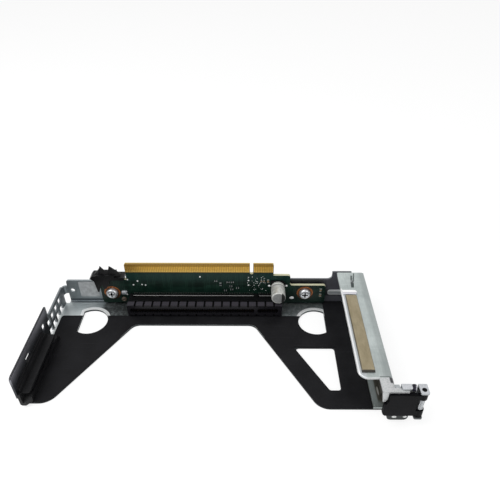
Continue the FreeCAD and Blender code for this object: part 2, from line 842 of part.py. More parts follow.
def make_slot():
    """The x16 slot: grooved collar, keyed mouth, contact cells and sprung contacts."""
    body = doc.addObject("PartDesign::Body", "slot_block")
    half_width, half_collar = S.slot_width.half(), S.collar_width.half()
    core = sketch_on(body, "XZ_Plane", "slot_outline", S.slot_foot)
    rectangle(core, slot_left, slot_right, S.slot_level - half_width, S.slot_level + half_width)
    pad(body, core, S.slot_height - S.slot_foot, "slot_core")
    collar = sketch_on(body, "XZ_Plane", "collar_outline", S.slot_height - S.collar_height)
    rectangle(collar, slot_left, slot_right, S.slot_level - half_collar, S.slot_level + half_collar)
    pad(body, collar, S.collar_height, "collar")

    feet = sketch_on(body, "XZ_Plane", "foot_outline")
    for left, right in ((slot_left, cavity_left), (key_left, key_right), (cavity_right, slot_right)):
        rectangle(feet, left, right, S.slot_level - half_width, S.slot_level + half_width)
    pad(body, feet, S.slot_foot, "feet")

    mouth = sketch_on(body, "XZ_Plane", "mouth_outline", S.slot_height)
    half_mouth = S.mouth_width.half()
    rectangle(mouth, cavity_left, key_left, S.slot_level - half_mouth, S.slot_level + half_mouth)
    rectangle(mouth, key_right, cavity_right, S.slot_level - half_mouth, S.slot_level + half_mouth)
    pocket(body, mouth, S.mouth_depth, "mouth")

    level = S.slot_level.value
    front, rear = -S.slot_height.value, -S.slot_foot.value
    inner = S.mouth_width.value / 2
    outer = inner + S.cell_depth.value
    skin = S.slot_width.value / 2
    edge = S.collar_width.value / 2
    groove = edge - S.groove_depth.value
    half_cell = S.cell_width.value / 2
    cutters = []
    for x in slot_positions():
        for side in (1, -1):
            near, far = sorted((level + side * (inner - 0.1), level + side * outer))
            cutters.append(Part.makeBox(2 * half_cell, rear - front + 2, far - near,
                                        Vector(x - half_cell, front - 1, near)))
    for start, end in ((cavity_left, key_left), (key_right, cavity_right)):
        for side in (1, -1):
            near, far = sorted((level + side * outer, level + side * (skin + 1)))
            cutters.append(Part.makeBox(end.value - start.value - 0.8, S.window_height.value, far - near,
                                        Vector(start.value + 0.4, rear - 0.4 - S.window_height.value, near)))
    pitch = S.collar_pitch.value
    count = int((S.slot_length.value - S.collar_groove.value) / pitch)
    first = S.slot_middle.value - (count - 1) * pitch / 2
    for number in range(count):
        x = first + number * pitch - S.collar_groove.value / 2
        for side in (1, -1):
            near, far = sorted((level + side * groove, level + side * (edge + 1)))
            cutters.append(Part.makeBox(S.collar_groove.value, S.collar_height.value + 2, far - near,
                                        Vector(x, front - 1, near)))
    cells = doc.addObject("Part::Feature", "slot_cells")
    cells.Shape = Part.makeCompound(cutters)
    keep(cut("slot_housing", body, cells), "slot_housing")

    for label, side in (("slot_contacts_upper", 1), ("slot_contacts_lower", -1)):
        group(label, [contact_spring(x, side) for x in slot_positions()])


def contact_spring(x, side):
    """One bent contact: foot on the board, leg up the cell, bowed tip in the mouth."""
    level = S.slot_level.value
    thick = S.spring_thickness.value
    leg = S.mouth_width.value / 2 + S.cell_depth.value * 0.75
    bow = S.mouth_width.value / 2 - thick
    toe = S.slot_width.value / 2 + 0.7
    reach = S.slot_height.value
    ridge = [(0.0, toe), (0.0, leg - thick), (reach * 0.62, leg - thick), (reach * 0.76, bow),
             (reach * 0.88, leg - 0.4 - thick)]
    back = [(reach * 0.88, leg - 0.4), (reach * 0.76, bow + thick), (reach * 0.62, leg),
            (thick, leg), (thick, toe)]
    corners = [Vector(0, -depth, level + side * height) for depth, height in ridge + back]
    face = Part.Face(Part.makePolygon(corners + [corners[0]]))
    strip = face.extrude(Vector(S.spring_width.value, 0, 0))
    strip.translate(Vector(x - S.spring_width.value / 2, 0, 0))
    return strip


def make_capacitor():
    """A can capacitor that lies out from the board on a square base."""
    can = new_body("capacitor_can")
    profile = sketch_on(can, "XY_Plane", "can_profile")
    base, radius = S.can_base, S.can_radius
    outline(profile, [
        (0, -base), (radius * 0.97, -base), (radius * 0.97, -base - 1.0),
        (radius * 0.88, -base - 1.3), (radius * 0.88, -base - 1.7),
        (radius, -base - 2.1), (radius, radius * 0.1 - S.can_height),
        (radius * 0.9, -S.can_height), (0, -S.can_height),
    ])
    turned = can.newObject("PartDesign::Revolution", "can")
    turned.Profile = profile
    turned.ReferenceAxis = (profile, ["V_Axis"])
    turned.Angle = 360
    profile.Visibility = False
    doc.recompute()

    foot = new_body("capacitor_base")
    half = S.can_base_width.half()
    square = sketch_on(foot, "XZ_Plane", "base_outline")
    rectangle(square, -half, half, -half, half)
    pad(foot, square, base, "base")
    bevel_edges(foot, S.can_base_width * 0.18, "base_corners", Y_AXIS, [(half, half), (half, -half)])
    for piece in (can, foot):
        piece.Placement = Placement(Vector(can_place.value, 0, S.can_level.value), Rotation())
        piece.setExpression("Placement.Base.x", can_place.text)
        piece.setExpression("Placement.Base.z", S.can_level.text)

    leads = []
    level, tall = S.can_level, S.can_lead_width.half()
    for near, far in ((half, S.can_lead_reach), (-S.can_lead_reach, -half)):
        leads.append(box(can_place + near, can_place + far, -S.can_lead_thickness, 0,
                         level - tall, level + tall))
    group("capacitor_leads", leads)


# Small parts on the board's front face: distance from the slot's right or left end, level,
# length, width, and whether they stand on end. All clear the slot, the can and the screws.
RIGHT_CERAMICS = [
    (-11.9, 19.4, 1.6, 0.8, True), (-10.3, 19.4, 1.6, 0.8, True), (-8.0, 19.3, 2.0, 1.25, True),
]
EAR_CERAMICS = [(-2.8, 12.6, 2.0, 1.25, True), (-2.8, 8.6, 2.0, 1.25, True)]
LEFT_RESISTORS = [
    (50.8, 19.3, 1.6, 0.8, False), (53.4, 17.0, 2.0, 1.25, True), (57.9, 18.5, 1.6, 0.8, False),
    (60.3, 18.5, 1.6, 0.8, False), (59.4, 15.4, 1.6, 0.8, False), (63.3, 14.1, 1.6, 0.8, False),
    (59.9, 12.9, 1.6, 0.8, False), (56.2, 12.1, 1.6, 0.8, False),
]
TEST_PADS = [
    (-0.3, 20.0), (2.7, 16.05), (5.4, 18.9), (7.7, 16.2), (9.7, 15.85), (41.8, 22.2),
    (69.7, 19.5), (69.7, 16.0), (-1.9, 8.6),
]


def placed(rows, start):
    """Turns distances from a side of the board or slot into positions along the card."""
    return [(start.value + row[0], *row[1:]) for row in rows]


def chip_pieces(rows):
    """Bodies and end terminals of chip parts that stand on the board's front face."""
    bodies, ends = [], []
    cap = S.terminal.value
    height = S.chip_height.value
    for x, z, length, width, upright in rows:
        spans = ((-length / 2 + cap, length / 2 - cap, bodies, 0.05),
                 (-length / 2, -length / 2 + cap, ends, 0.0),
                 (length / 2 - cap, length / 2, ends, 0.0))
        for start, end, store, sink in spans:
            wide = width / 2 - sink
            if upright:
                block = box(x - wide, x + wide, sink - height, 0, z + start, z + end)
            else:
                block = box(x + start, x + end, sink - height, 0, z - wide, z + wide)
            store.append(block)
    return bodies, ends


def make_small_parts():
    rows = placed(RIGHT_CERAMICS, slot_right) + placed(EAR_CERAMICS, S.board_right)
    ceramic, ceramic_ends = chip_pieces(rows)
    resistors, resistor_ends = chip_pieces(placed(LEFT_RESISTORS, slot_left))
    group("ceramic_capacitors", ceramic)
    group("chip_resistors", resistors)
    group("chip_terminals", ceramic_ends + resistor_ends)
    radius = S.finger_pad_width.value * 0.6
    height = S.plating.value * 2
    group("test_pads", [rod(radius, 0, height, TO_FRONT, (x, 0, z)) for x, z in placed(TEST_PADS, slot_left)])


def make_board_clip():
    """A moulded clip that straddles the wall's top edge and hooks the board's corner."""
    body = new_body("board_clip")
    front = S.clip_front
    back = wall_face + S.steel_thickness + S.clip_back
    shoulder = S.clip_prong_left + S.clip_prong_radius * 1.6
    inner = S.clip_prong_right - S.clip_prong_radius * 1.6
    face = sketch_on(body, "XZ_Plane", "clip_outline", front)
    outline(face, [
        (-S.clip_left, S.clip_bottom + 1.0), (2.2 - S.clip_left, S.clip_bottom - 0.6),
        (3.2 - S.clip_left, S.clip_foot_bottom), (4.1 - S.clip_left, S.clip_foot_bottom),
        (5.2 - S.clip_left, S.clip_bottom - 4.6), (6.6 - S.clip_left, S.clip_bottom - 3.2),
        (7.2 - S.clip_left, S.clip_heel_bottom), (8.4 - S.clip_left, S.clip_heel_bottom),
        (10.4 - S.clip_left, S.clip_bottom - 3.4), (11.4 - S.clip_left, S.clip_bottom),
        (-S.clip_right, S.clip_bottom), (-S.clip_right, S.clip_arm_top),
        (-inner, S.clip_arm_top), (0.9 - inner, S.clip_top),
        (-shoulder, S.clip_top), (-shoulder - 0.8, S.clip_top - 0.6),
        (1.4 - S.clip_left, S.clip_top - 0.6), (-S.clip_left, S.clip_top - 2.2),
    ])
    pad(body, face, back + front, "clip_block", back=True)

    throat = sketch_on(body, "YZ_Plane", "clip_throat_outline", -S.clip_left - 1)
    fit = S.clip_fit
    wall_back = wall_face + S.steel_thickness
    rectangle(throat, -fit, wall_back + fit, S.clip_foot_bottom - 1, S.clip_bottom)
    pocket(body, throat, S.clip_left - S.clip_right + 2, "clip_throat", along=True)

    ridge_back = sketch_on(body, "XZ_Plane", "clip_back_outline", -back)
    rectangle(ridge_back, -S.clip_left - 1, 1 - S.clip_right, S.clip_foot_bottom - 1, S.clip_bottom - 5.0)
    pocket(body, ridge_back, S.clip_back - fit, "clip_back_trim", along=True)

    for number, middle in enumerate((S.clip_prong_left, S.clip_prong_right)):
        prong = body.newObject("PartDesign::AdditiveCone", f"prong_{number}")
        low = S.clip_top - 0.4
        prong.Radius1 = S.clip_prong_radius.value
        prong.setExpression("Radius1", S.clip_prong_radius.text)
        prong.Radius2 = S.clip_prong_radius.value * 0.16
        prong.setExpression("Radius2", (S.clip_prong_radius * 0.16).text)
        prong.Height = (S.clip_prong_top - low).value
        prong.setExpression("Height", (S.clip_prong_top - low).text)
        depth = (back - front).half()
        place = {"x": -middle, "y": depth, "z": low}
        prong.Placement = Placement(Vector(place["x"].value, place["y"].value, place["z"].value), Rotation())
        for letter, length in place.items():
            prong.setExpression(f"Placement.Base.{letter}", length.text)
        doc.recompute()


def make_card_guide():
    """A black guide on the end wall: two ribs hold the far edge of the card."""
    body = new_body("card_guide")
    wall = end_wall_face
    half = S.guide_groove.half()
    low_rib = S.slot_level - half
    high_rib = S.slot_level + half
    step = S.guide_top - S.guide_lip_height
    section = sketch_on(body, "XZ_Plane", "guide_section", S.guide_back)
    outline(section, [
        (wall + S.bend_radius, film_top), (wall + S.guide_reach, film_top), (wall + S.guide_reach, low_rib),
        (wall + S.guide_wall, low_rib), (wall + S.guide_wall, high_rib),
        (wall + S.guide_reach, high_rib), (wall + S.guide_reach, high_rib + S.guide_rib),
        (wall + S.guide_wall, high_rib + S.guide_rib), (wall + S.guide_wall, step),
        (wall + S.guide_lip, step), (wall + S.guide_lip, S.guide_top),
        (wall, S.guide_top), (wall, film_top + S.bend_radius),
    ])
    pad(body, section, guide_front - S.guide_back, "guide")

    nose = sketch_on(body, "XY_Plane", "guide_nose_outline", film_top)
    front = -guide_front
    outline(nose, [
        (wall + S.guide_toe_in, front - 1), (wall + S.guide_toe_in, front),
        (wall + S.guide_reach, front + S.guide_toe_in), (wall + S.guide_reach + 1, front + S.guide_toe_in),
        (wall + S.guide_reach + 1, front - 1),
    ])
    pocket(body, nose, S.guide_top, "guide_nose", along=True)

    flare = sketch_on(body, "YZ_Plane", "guide_flare_outline", wall + S.guide_wall)
    outline(flare, [
        (front - 1, low_rib - S.guide_flare), (front, low_rib - S.guide_flare),
        (front + S.guide_reach, low_rib), (front + S.guide_reach, high_rib),
        (front, high_rib + S.guide_flare), (front - 1, high_rib + S.guide_flare),
    ])
    pocket(body, flare, S.guide_reach, "guide_flare", along=True)

    toe = sketch_on(body, "YZ_Plane", "guide_toe_outline", wall - 1)
    outline(toe, [
        (front - 1, S.end_wall_toe + 3), (2.0 - guide_front, S.end_wall_toe + 3),
        (2.0 - guide_front, S.guide_top - 2), (4.4 - guide_front, S.guide_top + 1),
        (front - 1, S.guide_top + 1),
    ])
    pocket(body, toe, S.guide_reach + 2, "guide_toe", along=True)

    heel = sketch_on(body, "YZ_Plane", "guide_heel_outline", wall - 1)
    outline(heel, [
        (1.0 - S.guide_back, film_top), (-S.guide_back, film_top),
        (-S.guide_back - S.guide_heel, S.guide_top + 1), (1.0 - S.guide_back, S.guide_top + 1),
    ])
    pocket(body, heel, S.guide_reach + 2, "guide_heel", along=True)


def make_rear_frame():
    """The second sheet: raised shelf, connector wall, card seat and flanges."""
    body = new_body("rear_frame")
    steel = S.steel_thickness
    under = shelf_under
    wall_in = S.frame_right - steel
    ledge_right = S.frame_right + S.ledge_length
    waist = seat_depth + S.ledge_waist
    shelf_back = wall_face - S.bend_radius
    shelf = sketch_on(body, "XY_Plane", "shelf_outline", under)
    outline(shelf, [
        (shelf_left, shelf_back), (S.frame_right, shelf_back), (S.frame_right, -waist),
        (ledge_right, -waist - 0.8), (ledge_right, -ledge_front),
        (ledge_left, -ledge_front), (ledge_left, -shelf_front), (shelf_left, -shelf_front),
    ])
    pad(body, shelf, steel, "shelf")
    lip = sketch_on(body, "XZ_Plane", "ledge_lip_outline", ledge_front - steel)
    lip_right = ledge_left + S.ledge_lip_width
    lip_low = under - S.lip_drop
    outline(lip, [
        (ledge_left, under), (ledge_left + 0.9, lip_low), (lip_right - 0.9, lip_low),
        (lip_right, lip_low + 2.0), (lip_right, under),
    ])
    pad(body, lip, steel, "ledge_lip")
    wall = sketch_on(body, "YZ_Plane", "port_wall_outline", wall_in)
    outline(wall, [
        (shelf_back, plate_top), (shelf_back, S.shelf_level), (-seat_depth - steel, S.shelf_level),
        (-seat_depth - steel, S.wall_toe), (-S.front_depth, S.wall_toe),
        (-S.front_depth, plate_top),
    ])
    pad(body, wall, steel, "port_wall")
    seat = sketch_on(body, "XZ_Plane", "seat_outline", seat_depth)
    seat_right = S.frame_right + S.seat_width
    rectangle(seat, wall_in, seat_right, S.seat_bottom, under)
    pad(body, seat, steel, "seat")
    round_edges(body, S.port_rounding, "seat_corners", Y_AXIS,
                [(seat_right, S.seat_bottom), (wall_in, S.seat_bottom)])
    flange = sketch_on(body, "XY_Plane", "flange_outline", plate_top)
    rectangle(flange, S.frame_right - S.flange_width, S.frame_right, -S.front_depth, shelf_back)
    pad(body, flange, steel, "flange")
    rear = sketch_on(body, "XZ_Plane", "rear_flange_outline", -wall_face)
    rectangle(rear, S.frame_right - S.rear_flange_width, S.frame_right, film_top + steel, under)
    pad(body, rear, steel, "rear_flange")

    round_edges(body, S.shelf_rounding, "shelf_corner", Z_AXIS, [(shelf_left, -shelf_front)])
    round_rim(body)
    round_edges(body, outer_bend, "shelf_bend", Y_AXIS, [(S.frame_right, S.shelf_level)])
    round_edges(body, outer_bend, "flange_bend", Y_AXIS, [(S.frame_right, plate_top)])

    port = sketch_on(body, "YZ_Plane", "port_outline", wall_in - 1)
    rectangle(port, -port_front, -S.port_back, S.port_bottom, S.port_top)
    pocket(body, port, steel + 2, "port", along=True)
    round_edges(body, S.port_rounding, "port_corners", X_AXIS, [
        (-port_front, S.port_bottom), (-port_front, S.port_top),
        (-S.port_back, S.port_bottom), (-S.port_back, S.port_top)])

    bead = sketch_on(body, "XY_Plane", "shelf_bead_outline", S.shelf_level)
    low = -S.shelf_bead_depth - S.bead_width.half()
    high = S.bead_width.half() - S.shelf_bead_depth
    bead_end = S.frame_right - S.shelf_bead_end
    rectangle(bead, shelf_left + S.rim_rounding, bead_end, low, high)
    pad(body, bead, S.shelf_bead_height, "shelf_bead")
    round_edges(body, S.bead_width * 0.45, "shelf_bead_end", Z_AXIS, [(bead_end, low), (bead_end, high)])
    crest = S.shelf_level + S.shelf_bead_height
    round_edges(body, S.shelf_bead_height * 0.6, "shelf_bead_crest", X_AXIS, [(low, crest), (high, crest)])

    slit = sketch_on(body, "XY_Plane", "slit_outline", under)
    right = S.frame_right - S.slit_inset
    back = shelf_back - S.rim_rounding
    middle = back - S.slit_length.half()
    outline(slit, [
        (right, back), (right - 0.6, back), (right - 1.5, middle), (right - 1.8, middle),
        (right - 1.3, back - 2.0), (right - 2.4, back - 2.0), (right - 3.2, middle - 1.4),
        (right - 3.5, back - S.slit_length), (right - 1.9, back - S.slit_length),
        (right - 1.4, middle - 2.0), (right - 0.9, middle),
    ])
    pocket(body, slit, steel, "slit", along=True)

    rivet_holes = sketch_on(body, "XY_Plane", "flange_rivet_outline", plate_top)
    for number in range(3):
        depth = -S.rivet_first - S.rivet_pitch * number
        circle(rivet_holes, rivet_line, depth, S.rivet_radius + S.press_gap)
    pocket(body, rivet_holes, steel, "flange_rivet_holes", along=True)
    wall_rivets = sketch_on(body, "XZ_Plane", "rear_rivet_outline", -wall_face)
    for number in range(2):
        level = S.rivet_wall_level + S.rivet_wall_pitch * number
        circle(wall_rivets, rivet_wall_place, level, S.rivet_radius + S.press_gap)
    pocket(body, wall_rivets, steel, "rear_rivet_holes", along=True)


def round_rim(body):
    """Rounds the shelf's upper edge along the left side, the corner and the front."""
    doc.recompute()
    base = body.Tip
    level = S.shelf_level.value
    left, front = shelf_left.value, -shelf_front.value
    names = []
    for number, edge in enumerate(base.Shape.Edges, start=1):
        bounds = edge.BoundBox
        flat = abs(bounds.ZMax - level) < 0.01 and abs(bounds.ZMin - level) < 0.01
        side = abs(bounds.XMin - left) < 0.01
        at_front = abs(bounds.YMax - front) < 0.01 and abs(bounds.YMin - front) < 0.01
        at_left = side and bounds.XMax < left + S.shelf_rounding.value + 0.01
        if flat and (at_left or at_front):
            names.append(f"Edge{number}")
    feature = body.newObject("PartDesign::Fillet", "rim_round")
    feature.Base = (base, names)
    feature.Radius = S.rim_rounding.value
    feature.setExpression("Radius", S.rim_rounding.text)
    doc.recompute()
    if "Invalid" in feature.State:
        raise RuntimeError("the shelf's edge could not be rounded")


def make_emi_gasket():
    """A strip of cloth over foam that seals the shelf against the chassis."""
    body = new_body("emi_gasket")
    left = shelf_left + S.gasket_inset
    right = left + S.gasket_width
    foot = sketch_on(body, "XY_Plane", "gasket_outline", S.shelf_level)
    rectangle(foot, left, right, S.gasket_margin - S.front_depth, -S.gasket_back)
    pad(body, foot, S.gasket_height, "gasket")
    top = S.shelf_level + S.gasket_height
    round_edges(body, S.gasket_height * 0.4, "gasket_edges", Y_AXIS, [(left, top), (right, top)])


def make_frame_rivets():
    """Rivets that join the two sheets: three in the plate, two in the back wall."""
    radius, head = S.rivet_radius.value, S.rivet_head_radius.value
    steel, height = S.steel_thickness.value, S.rivet_head_height.value
    rivets = []
    for number in range(3):
        y = -(S.rivet_first.value + S.rivet_pitch.value * number)
        rivets.append(rivet((rivet_line.value, y, 2 * steel), (0, 0, 1), radius, head, height, 2 * steel))
    for number in range(2):
        z = S.rivet_wall_level.value + S.rivet_wall_pitch.value * number
        place = (rivet_wall_place.value, wall_face.value - steel, z)
        rivets.append(rivet(place, TO_FRONT, radius, head, height, 2 * steel))
    group("frame_rivets", rivets)


def rivet(place, direction, radius, head, height, grip):
    """A rivet with a low domed head that stands out along the direction."""
    ball = (head ** 2 + height ** 2) / (2 * height)
    lift = height - ball
    tilt = math.degrees(math.asin(-lift / ball))
    dome = Part.makeSphere(ball, Vector(0, 0, lift), Vector(0, 0, 1), tilt, 90, 360)
    shank = Part.makeCylinder(radius, grip, Vector(0, 0, -grip))
    solid = dome.fuse(shank).removeSplitter()
    solid.Placement = Placement(Vector(*place), Rotation(Vector(0, 0, 1), Vector(*direction)))
    return solid


def make_latch_bracket():
    """The small sheet behind the card seat that carries the latch's hinge pin."""
    body = new_body("latch_bracket")
    steel = S.latch_steel
    web_front = -seat_depth
    left = S.frame_right + S.latch_gap
    rest_left = S.frame_right + S.rest_tab_offset
    rest_right = rest_left + S.rest_tab_width
    top = S.upper_tab_level + steel
    web = sketch_on(body, "XZ_Plane", "latch_web_outline", seat_depth - steel)
    outline(web, [
        (left, S.lower_tab_level), (hinge_tab_right, S.lower_tab_level), (hinge_tab_right, top),
        (hinge_tab_left, top), (hinge_tab_left, top - S.tab_notch),
        (rest_right, top - S.tab_notch), (rest_right, top), (rest_left, top),
        (rest_left, shelf_under - S.latch_gap), (left, shelf_under - S.latch_gap),
    ])
    pad(body, web, steel, "latch_web")
    for level, name in ((S.upper_tab_level, "upper_tab"), (S.lower_tab_level, "lower_tab")):
        tab = sketch_on(body, "XY_Plane", name + "_outline", level)
        rectangle(tab, hinge_tab_left, hinge_tab_right, -seat_depth - S.hinge_tab_reach, web_front + steel)
        circle(tab, hinge_place, -hinge_depth, S.hinge_radius + S.running_gap)
        pad(body, tab, steel, name)
    rest = sketch_on(body, "XY_Plane", "rest_tab_outline", S.upper_tab_level)
    rectangle(rest, rest_left, rest_right, -seat_depth - S.rest_tab_reach, web_front + steel)
    pad(body, rest, steel, "rest_tab")
    heel = sketch_on(body, "XY_Plane", "heel_tab_outline", shelf_under - steel * 2)
    rectangle(heel, left, rest_left, web_front, web_front + S.heel_tab_reach)
    pad(body, heel, steel, "heel_tab")
    round_edges(body, steel, "tab_corners", Z_AXIS, [
        (hinge_tab_left, -seat_depth - S.hinge_tab_reach), (hinge_tab_right, -seat_depth - S.hinge_tab_reach),
        (rest_left, -seat_depth - S.rest_tab_reach), (rest_right, -seat_depth - S.rest_tab_reach)])


def make_latch():
    """The plastic latch on its hinge pin, with the torsion spring between its knuckles."""
    body = new_body("latch_body")
    face = S.latch_gap - hinge_depth
    plate_right = hinge_place - S.knuckle_radius.half()
    step = hinge_place - S.knuckle_radius - S.latch_gap
    front = face.value - S.latch_thickness.value
    clear = S.latch_gap * 2
    notch_right = ledge_left + S.ledge_lip_width + clear
    notch_low = shelf_under - S.lip_drop - clear
    plate = sketch_on(body, "XZ_Plane", "latch_outline", -face)
    outline(plate, [
        (latch_left, S.latch_bottom + S.latch_corner), (latch_left + S.latch_corner, S.latch_bottom),
        (plate_right, S.latch_bottom), (plate_right, S.lower_knuckle_top),
        (step, S.lower_knuckle_top), (step, S.upper_knuckle_bottom),
        (plate_right, S.upper_knuckle_bottom), (plate_right, S.latch_top),
        (notch_right, S.latch_top), (notch_right, notch_low + 2.0),
        (notch_right - 0.9, notch_low), (latch_left, notch_low),
    ])
    pad(body, plate, S.latch_thickness, "latch_plate")
    knuckles = ((S.upper_knuckle_bottom, S.upper_tab_level - S.latch_gap, "upper_knuckle"),
                (S.lower_tab_level + S.latch_steel + S.latch_gap, S.lower_knuckle_top, "lower_knuckle"))
    for low, high, name in knuckles:
        ring = sketch_on(body, "XY_Plane", name + "_outline", low)
        circle(ring, hinge_place, -hinge_depth, S.knuckle_radius)
        pad(body, ring, high - low, name)
    bore = sketch_on(body, "XY_Plane", "latch_bore_outline", S.lower_tab_level)
    circle(bore, hinge_place, -hinge_depth, S.hinge_radius + S.running_gap)
    pocket(body, bore, S.upper_tab_level - S.lower_tab_level, "latch_bore", along=True)
    hollow = sketch_on(body, "XZ_Plane", "latch_hollow_outline", -face)
    rib = S.latch_thickness.half()
    middle = (notch_right + step).half()
    top, low = S.latch_top - rib, S.latch_bottom + S.latch_corner + rib
    rectangle(hollow, notch_right + rib, middle - rib.half(), low, top)
    rectangle(hollow, middle + rib.half(), step - rib, low, top)
    pocket(body, hollow, S.latch_thickness.half(), "latch_hollow", along=True)
    round_edges(body, S.latch_thickness * 0.3, "latch_edge", Z_AXIS, [(latch_left, front)])

    pin = doc.addObject("Part::Feature", "latch_pin")
    place = (hinge_place.value, -hinge_depth.value, 0)
    low = S.lower_tab_level.value
    top = S.upper_tab_level.value + S.latch_steel.value / 2
    shank = rod(S.hinge_radius.value, low - 0.4, top, (0, 0, 1), place)
    head = rod(S.pin_head_radius.value, low - S.pin_head_height.value, low, (0, 0, 1), place)
    pin.Shape = shank.fuse(head).removeSplitter()
    keep(pin, "latch_pin")

    spring = doc.addObject("Part::Feature", "latch_spring")
    spring.Shape = torsion_spring()
    keep(spring, "latch_spring")


def torsion_spring():
    """Close coils round the pin with one leg along the back of the latch."""
    wire = S.spring_wire.value
    gap = S.spring_gap.value
    radius = S.hinge_radius.value + gap + wire / 2
    low = S.lower_knuckle_top.value + gap + wire / 2
    high = S.upper_knuckle_bottom.value - gap - wire / 2
    turns = S.spring_coils.value
    helix = Part.makeHelix((high - low) / turns, high - low, radius)
    start = Vector(radius, 0, 0)
    circle_wire = Part.Wire(Part.makeCircle(wire / 2, start, Vector(0, 1, 0)))
    coil = Part.Wire(helix.Edges).makePipeShell([circle_wire], True, True)
    coil.translate(Vector(hinge_place.value, -hinge_depth.value, low))
    return coil


make_bracket_frame()
make_insulation_film()
make_riser_board()
make_edge_contacts()
make_screw_fixings()
make_slot()
make_capacitor()
make_small_parts()
make_board_clip()
make_card_guide()
make_rear_frame()
make_emi_gasket()
make_frame_rivets()
make_latch_bracket()
make_latch()
doc.recompute()

for item in doc.Objects:
    if "Invalid" in item.State or "Error" in item.State:
        raise RuntimeError(f"{item.Label} failed: {item.State}")
for piece in sub_parts:
    if piece.Shape.isNull() or not piece.Shape.isValid():
        raise RuntimeError(f"{piece.Label} has no valid shape")

os.makedirs("parts", exist_ok=True)
for piece in sub_parts:
    piece.Shape.exportStep(f"parts/{piece.Label}.step")
    print(piece.Label, len(piece.Shape.Solids), "solids", round(piece.Shape.Volume, 2), "mm3")
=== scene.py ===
import math
import random
import bmesh
import bpy
from mathutils import Matrix, Vector


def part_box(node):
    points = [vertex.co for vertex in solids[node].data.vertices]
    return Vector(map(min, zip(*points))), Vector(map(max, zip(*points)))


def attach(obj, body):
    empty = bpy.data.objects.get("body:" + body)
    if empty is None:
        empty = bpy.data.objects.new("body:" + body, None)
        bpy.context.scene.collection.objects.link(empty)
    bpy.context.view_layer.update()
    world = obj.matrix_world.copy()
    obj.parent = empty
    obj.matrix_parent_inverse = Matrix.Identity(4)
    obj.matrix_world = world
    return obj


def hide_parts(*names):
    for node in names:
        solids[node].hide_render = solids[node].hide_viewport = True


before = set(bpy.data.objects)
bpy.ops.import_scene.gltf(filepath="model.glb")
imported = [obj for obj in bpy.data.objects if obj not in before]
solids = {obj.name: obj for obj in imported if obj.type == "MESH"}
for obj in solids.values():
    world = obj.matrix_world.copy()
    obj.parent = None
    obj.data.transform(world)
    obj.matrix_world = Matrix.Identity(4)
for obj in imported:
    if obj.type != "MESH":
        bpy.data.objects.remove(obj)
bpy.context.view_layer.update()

# The room. The riser lies flat on a pale table top in soft daylight from all round,
# with one large lamp above and to the left. The table keeps only a faint shadow.
class Tone:
    """One value or colour on its way through a tree of nodes; arithmetic adds Math nodes."""

    def __init__(self, recipe, socket):
        self.recipe = recipe
        self.socket = socket

    def math(self, operation, first, second=0.0):
        return self.recipe.node("ShaderNodeMath", {"operation": operation}, {0: first, 1: second})

    def __add__(self, other):
        return self.math("ADD", self, other)

    def __sub__(self, other):
        return self.math("SUBTRACT", self, other)

    def __rsub__(self, other):
        return self.math("SUBTRACT", other, self)

    def __mul__(self, other):
        return self.math("MULTIPLY", self, other)

    def __truediv__(self, other):
        return self.math("DIVIDE", self, other)

    __radd__ = __add__
    __rmul__ = __mul__

    def __abs__(self):
        return self.math("ABSOLUTE", self)

    def swing(self, length):
        """Rises from 0 to length and falls back to 0, over and over."""
        return self.math("PINGPONG", self, length)

    def above(self, edge, soft):
        """0 well below edge, 1 well above it, with a soft change between."""
        return self.recipe.node("ShaderNodeMapRange", {"interpolation_type": "SMOOTHSTEP"},
                                {"Value": self, "From Min": edge - soft, "From Max": edge + soft})

    def below(self, edge, soft):
        return 1 - self.above(edge, soft)

    def within(self, low, high, soft):
        return self.above(low, soft) * self.below(high, soft)


class Recipe:
    """A tree of nodes, and the one way in which nodes are added to it."""

    def __init__(self, tree):
        self.tree = tree

    def node(self, kind, settings=(), sockets=(), output=0):
        made = self.tree.nodes.new(kind)
        for name, value in dict(settings).items():
            if name == "stops":
                stops = made.color_ramp.elements
                while len(stops) < len(value):
                    stops.new(1.0)
                for stop, (where, colour) in zip(stops, value):
                    stop.position = where
                    stop.color = (*colour, 1.0)
            else:
                setattr(made, name, value)
        for name, value in dict(sockets).items():
            socket = made.inputs[name]
            if isinstance(value, Tone):
                self.tree.links.new(value.socket, socket)
            elif socket.type == "RGBA" and len(value) == 3:
                socket.default_value = (*value, 1.0)
            else:
                socket.default_value = value
        return Tone(self, made.outputs[output] if made.outputs else None)


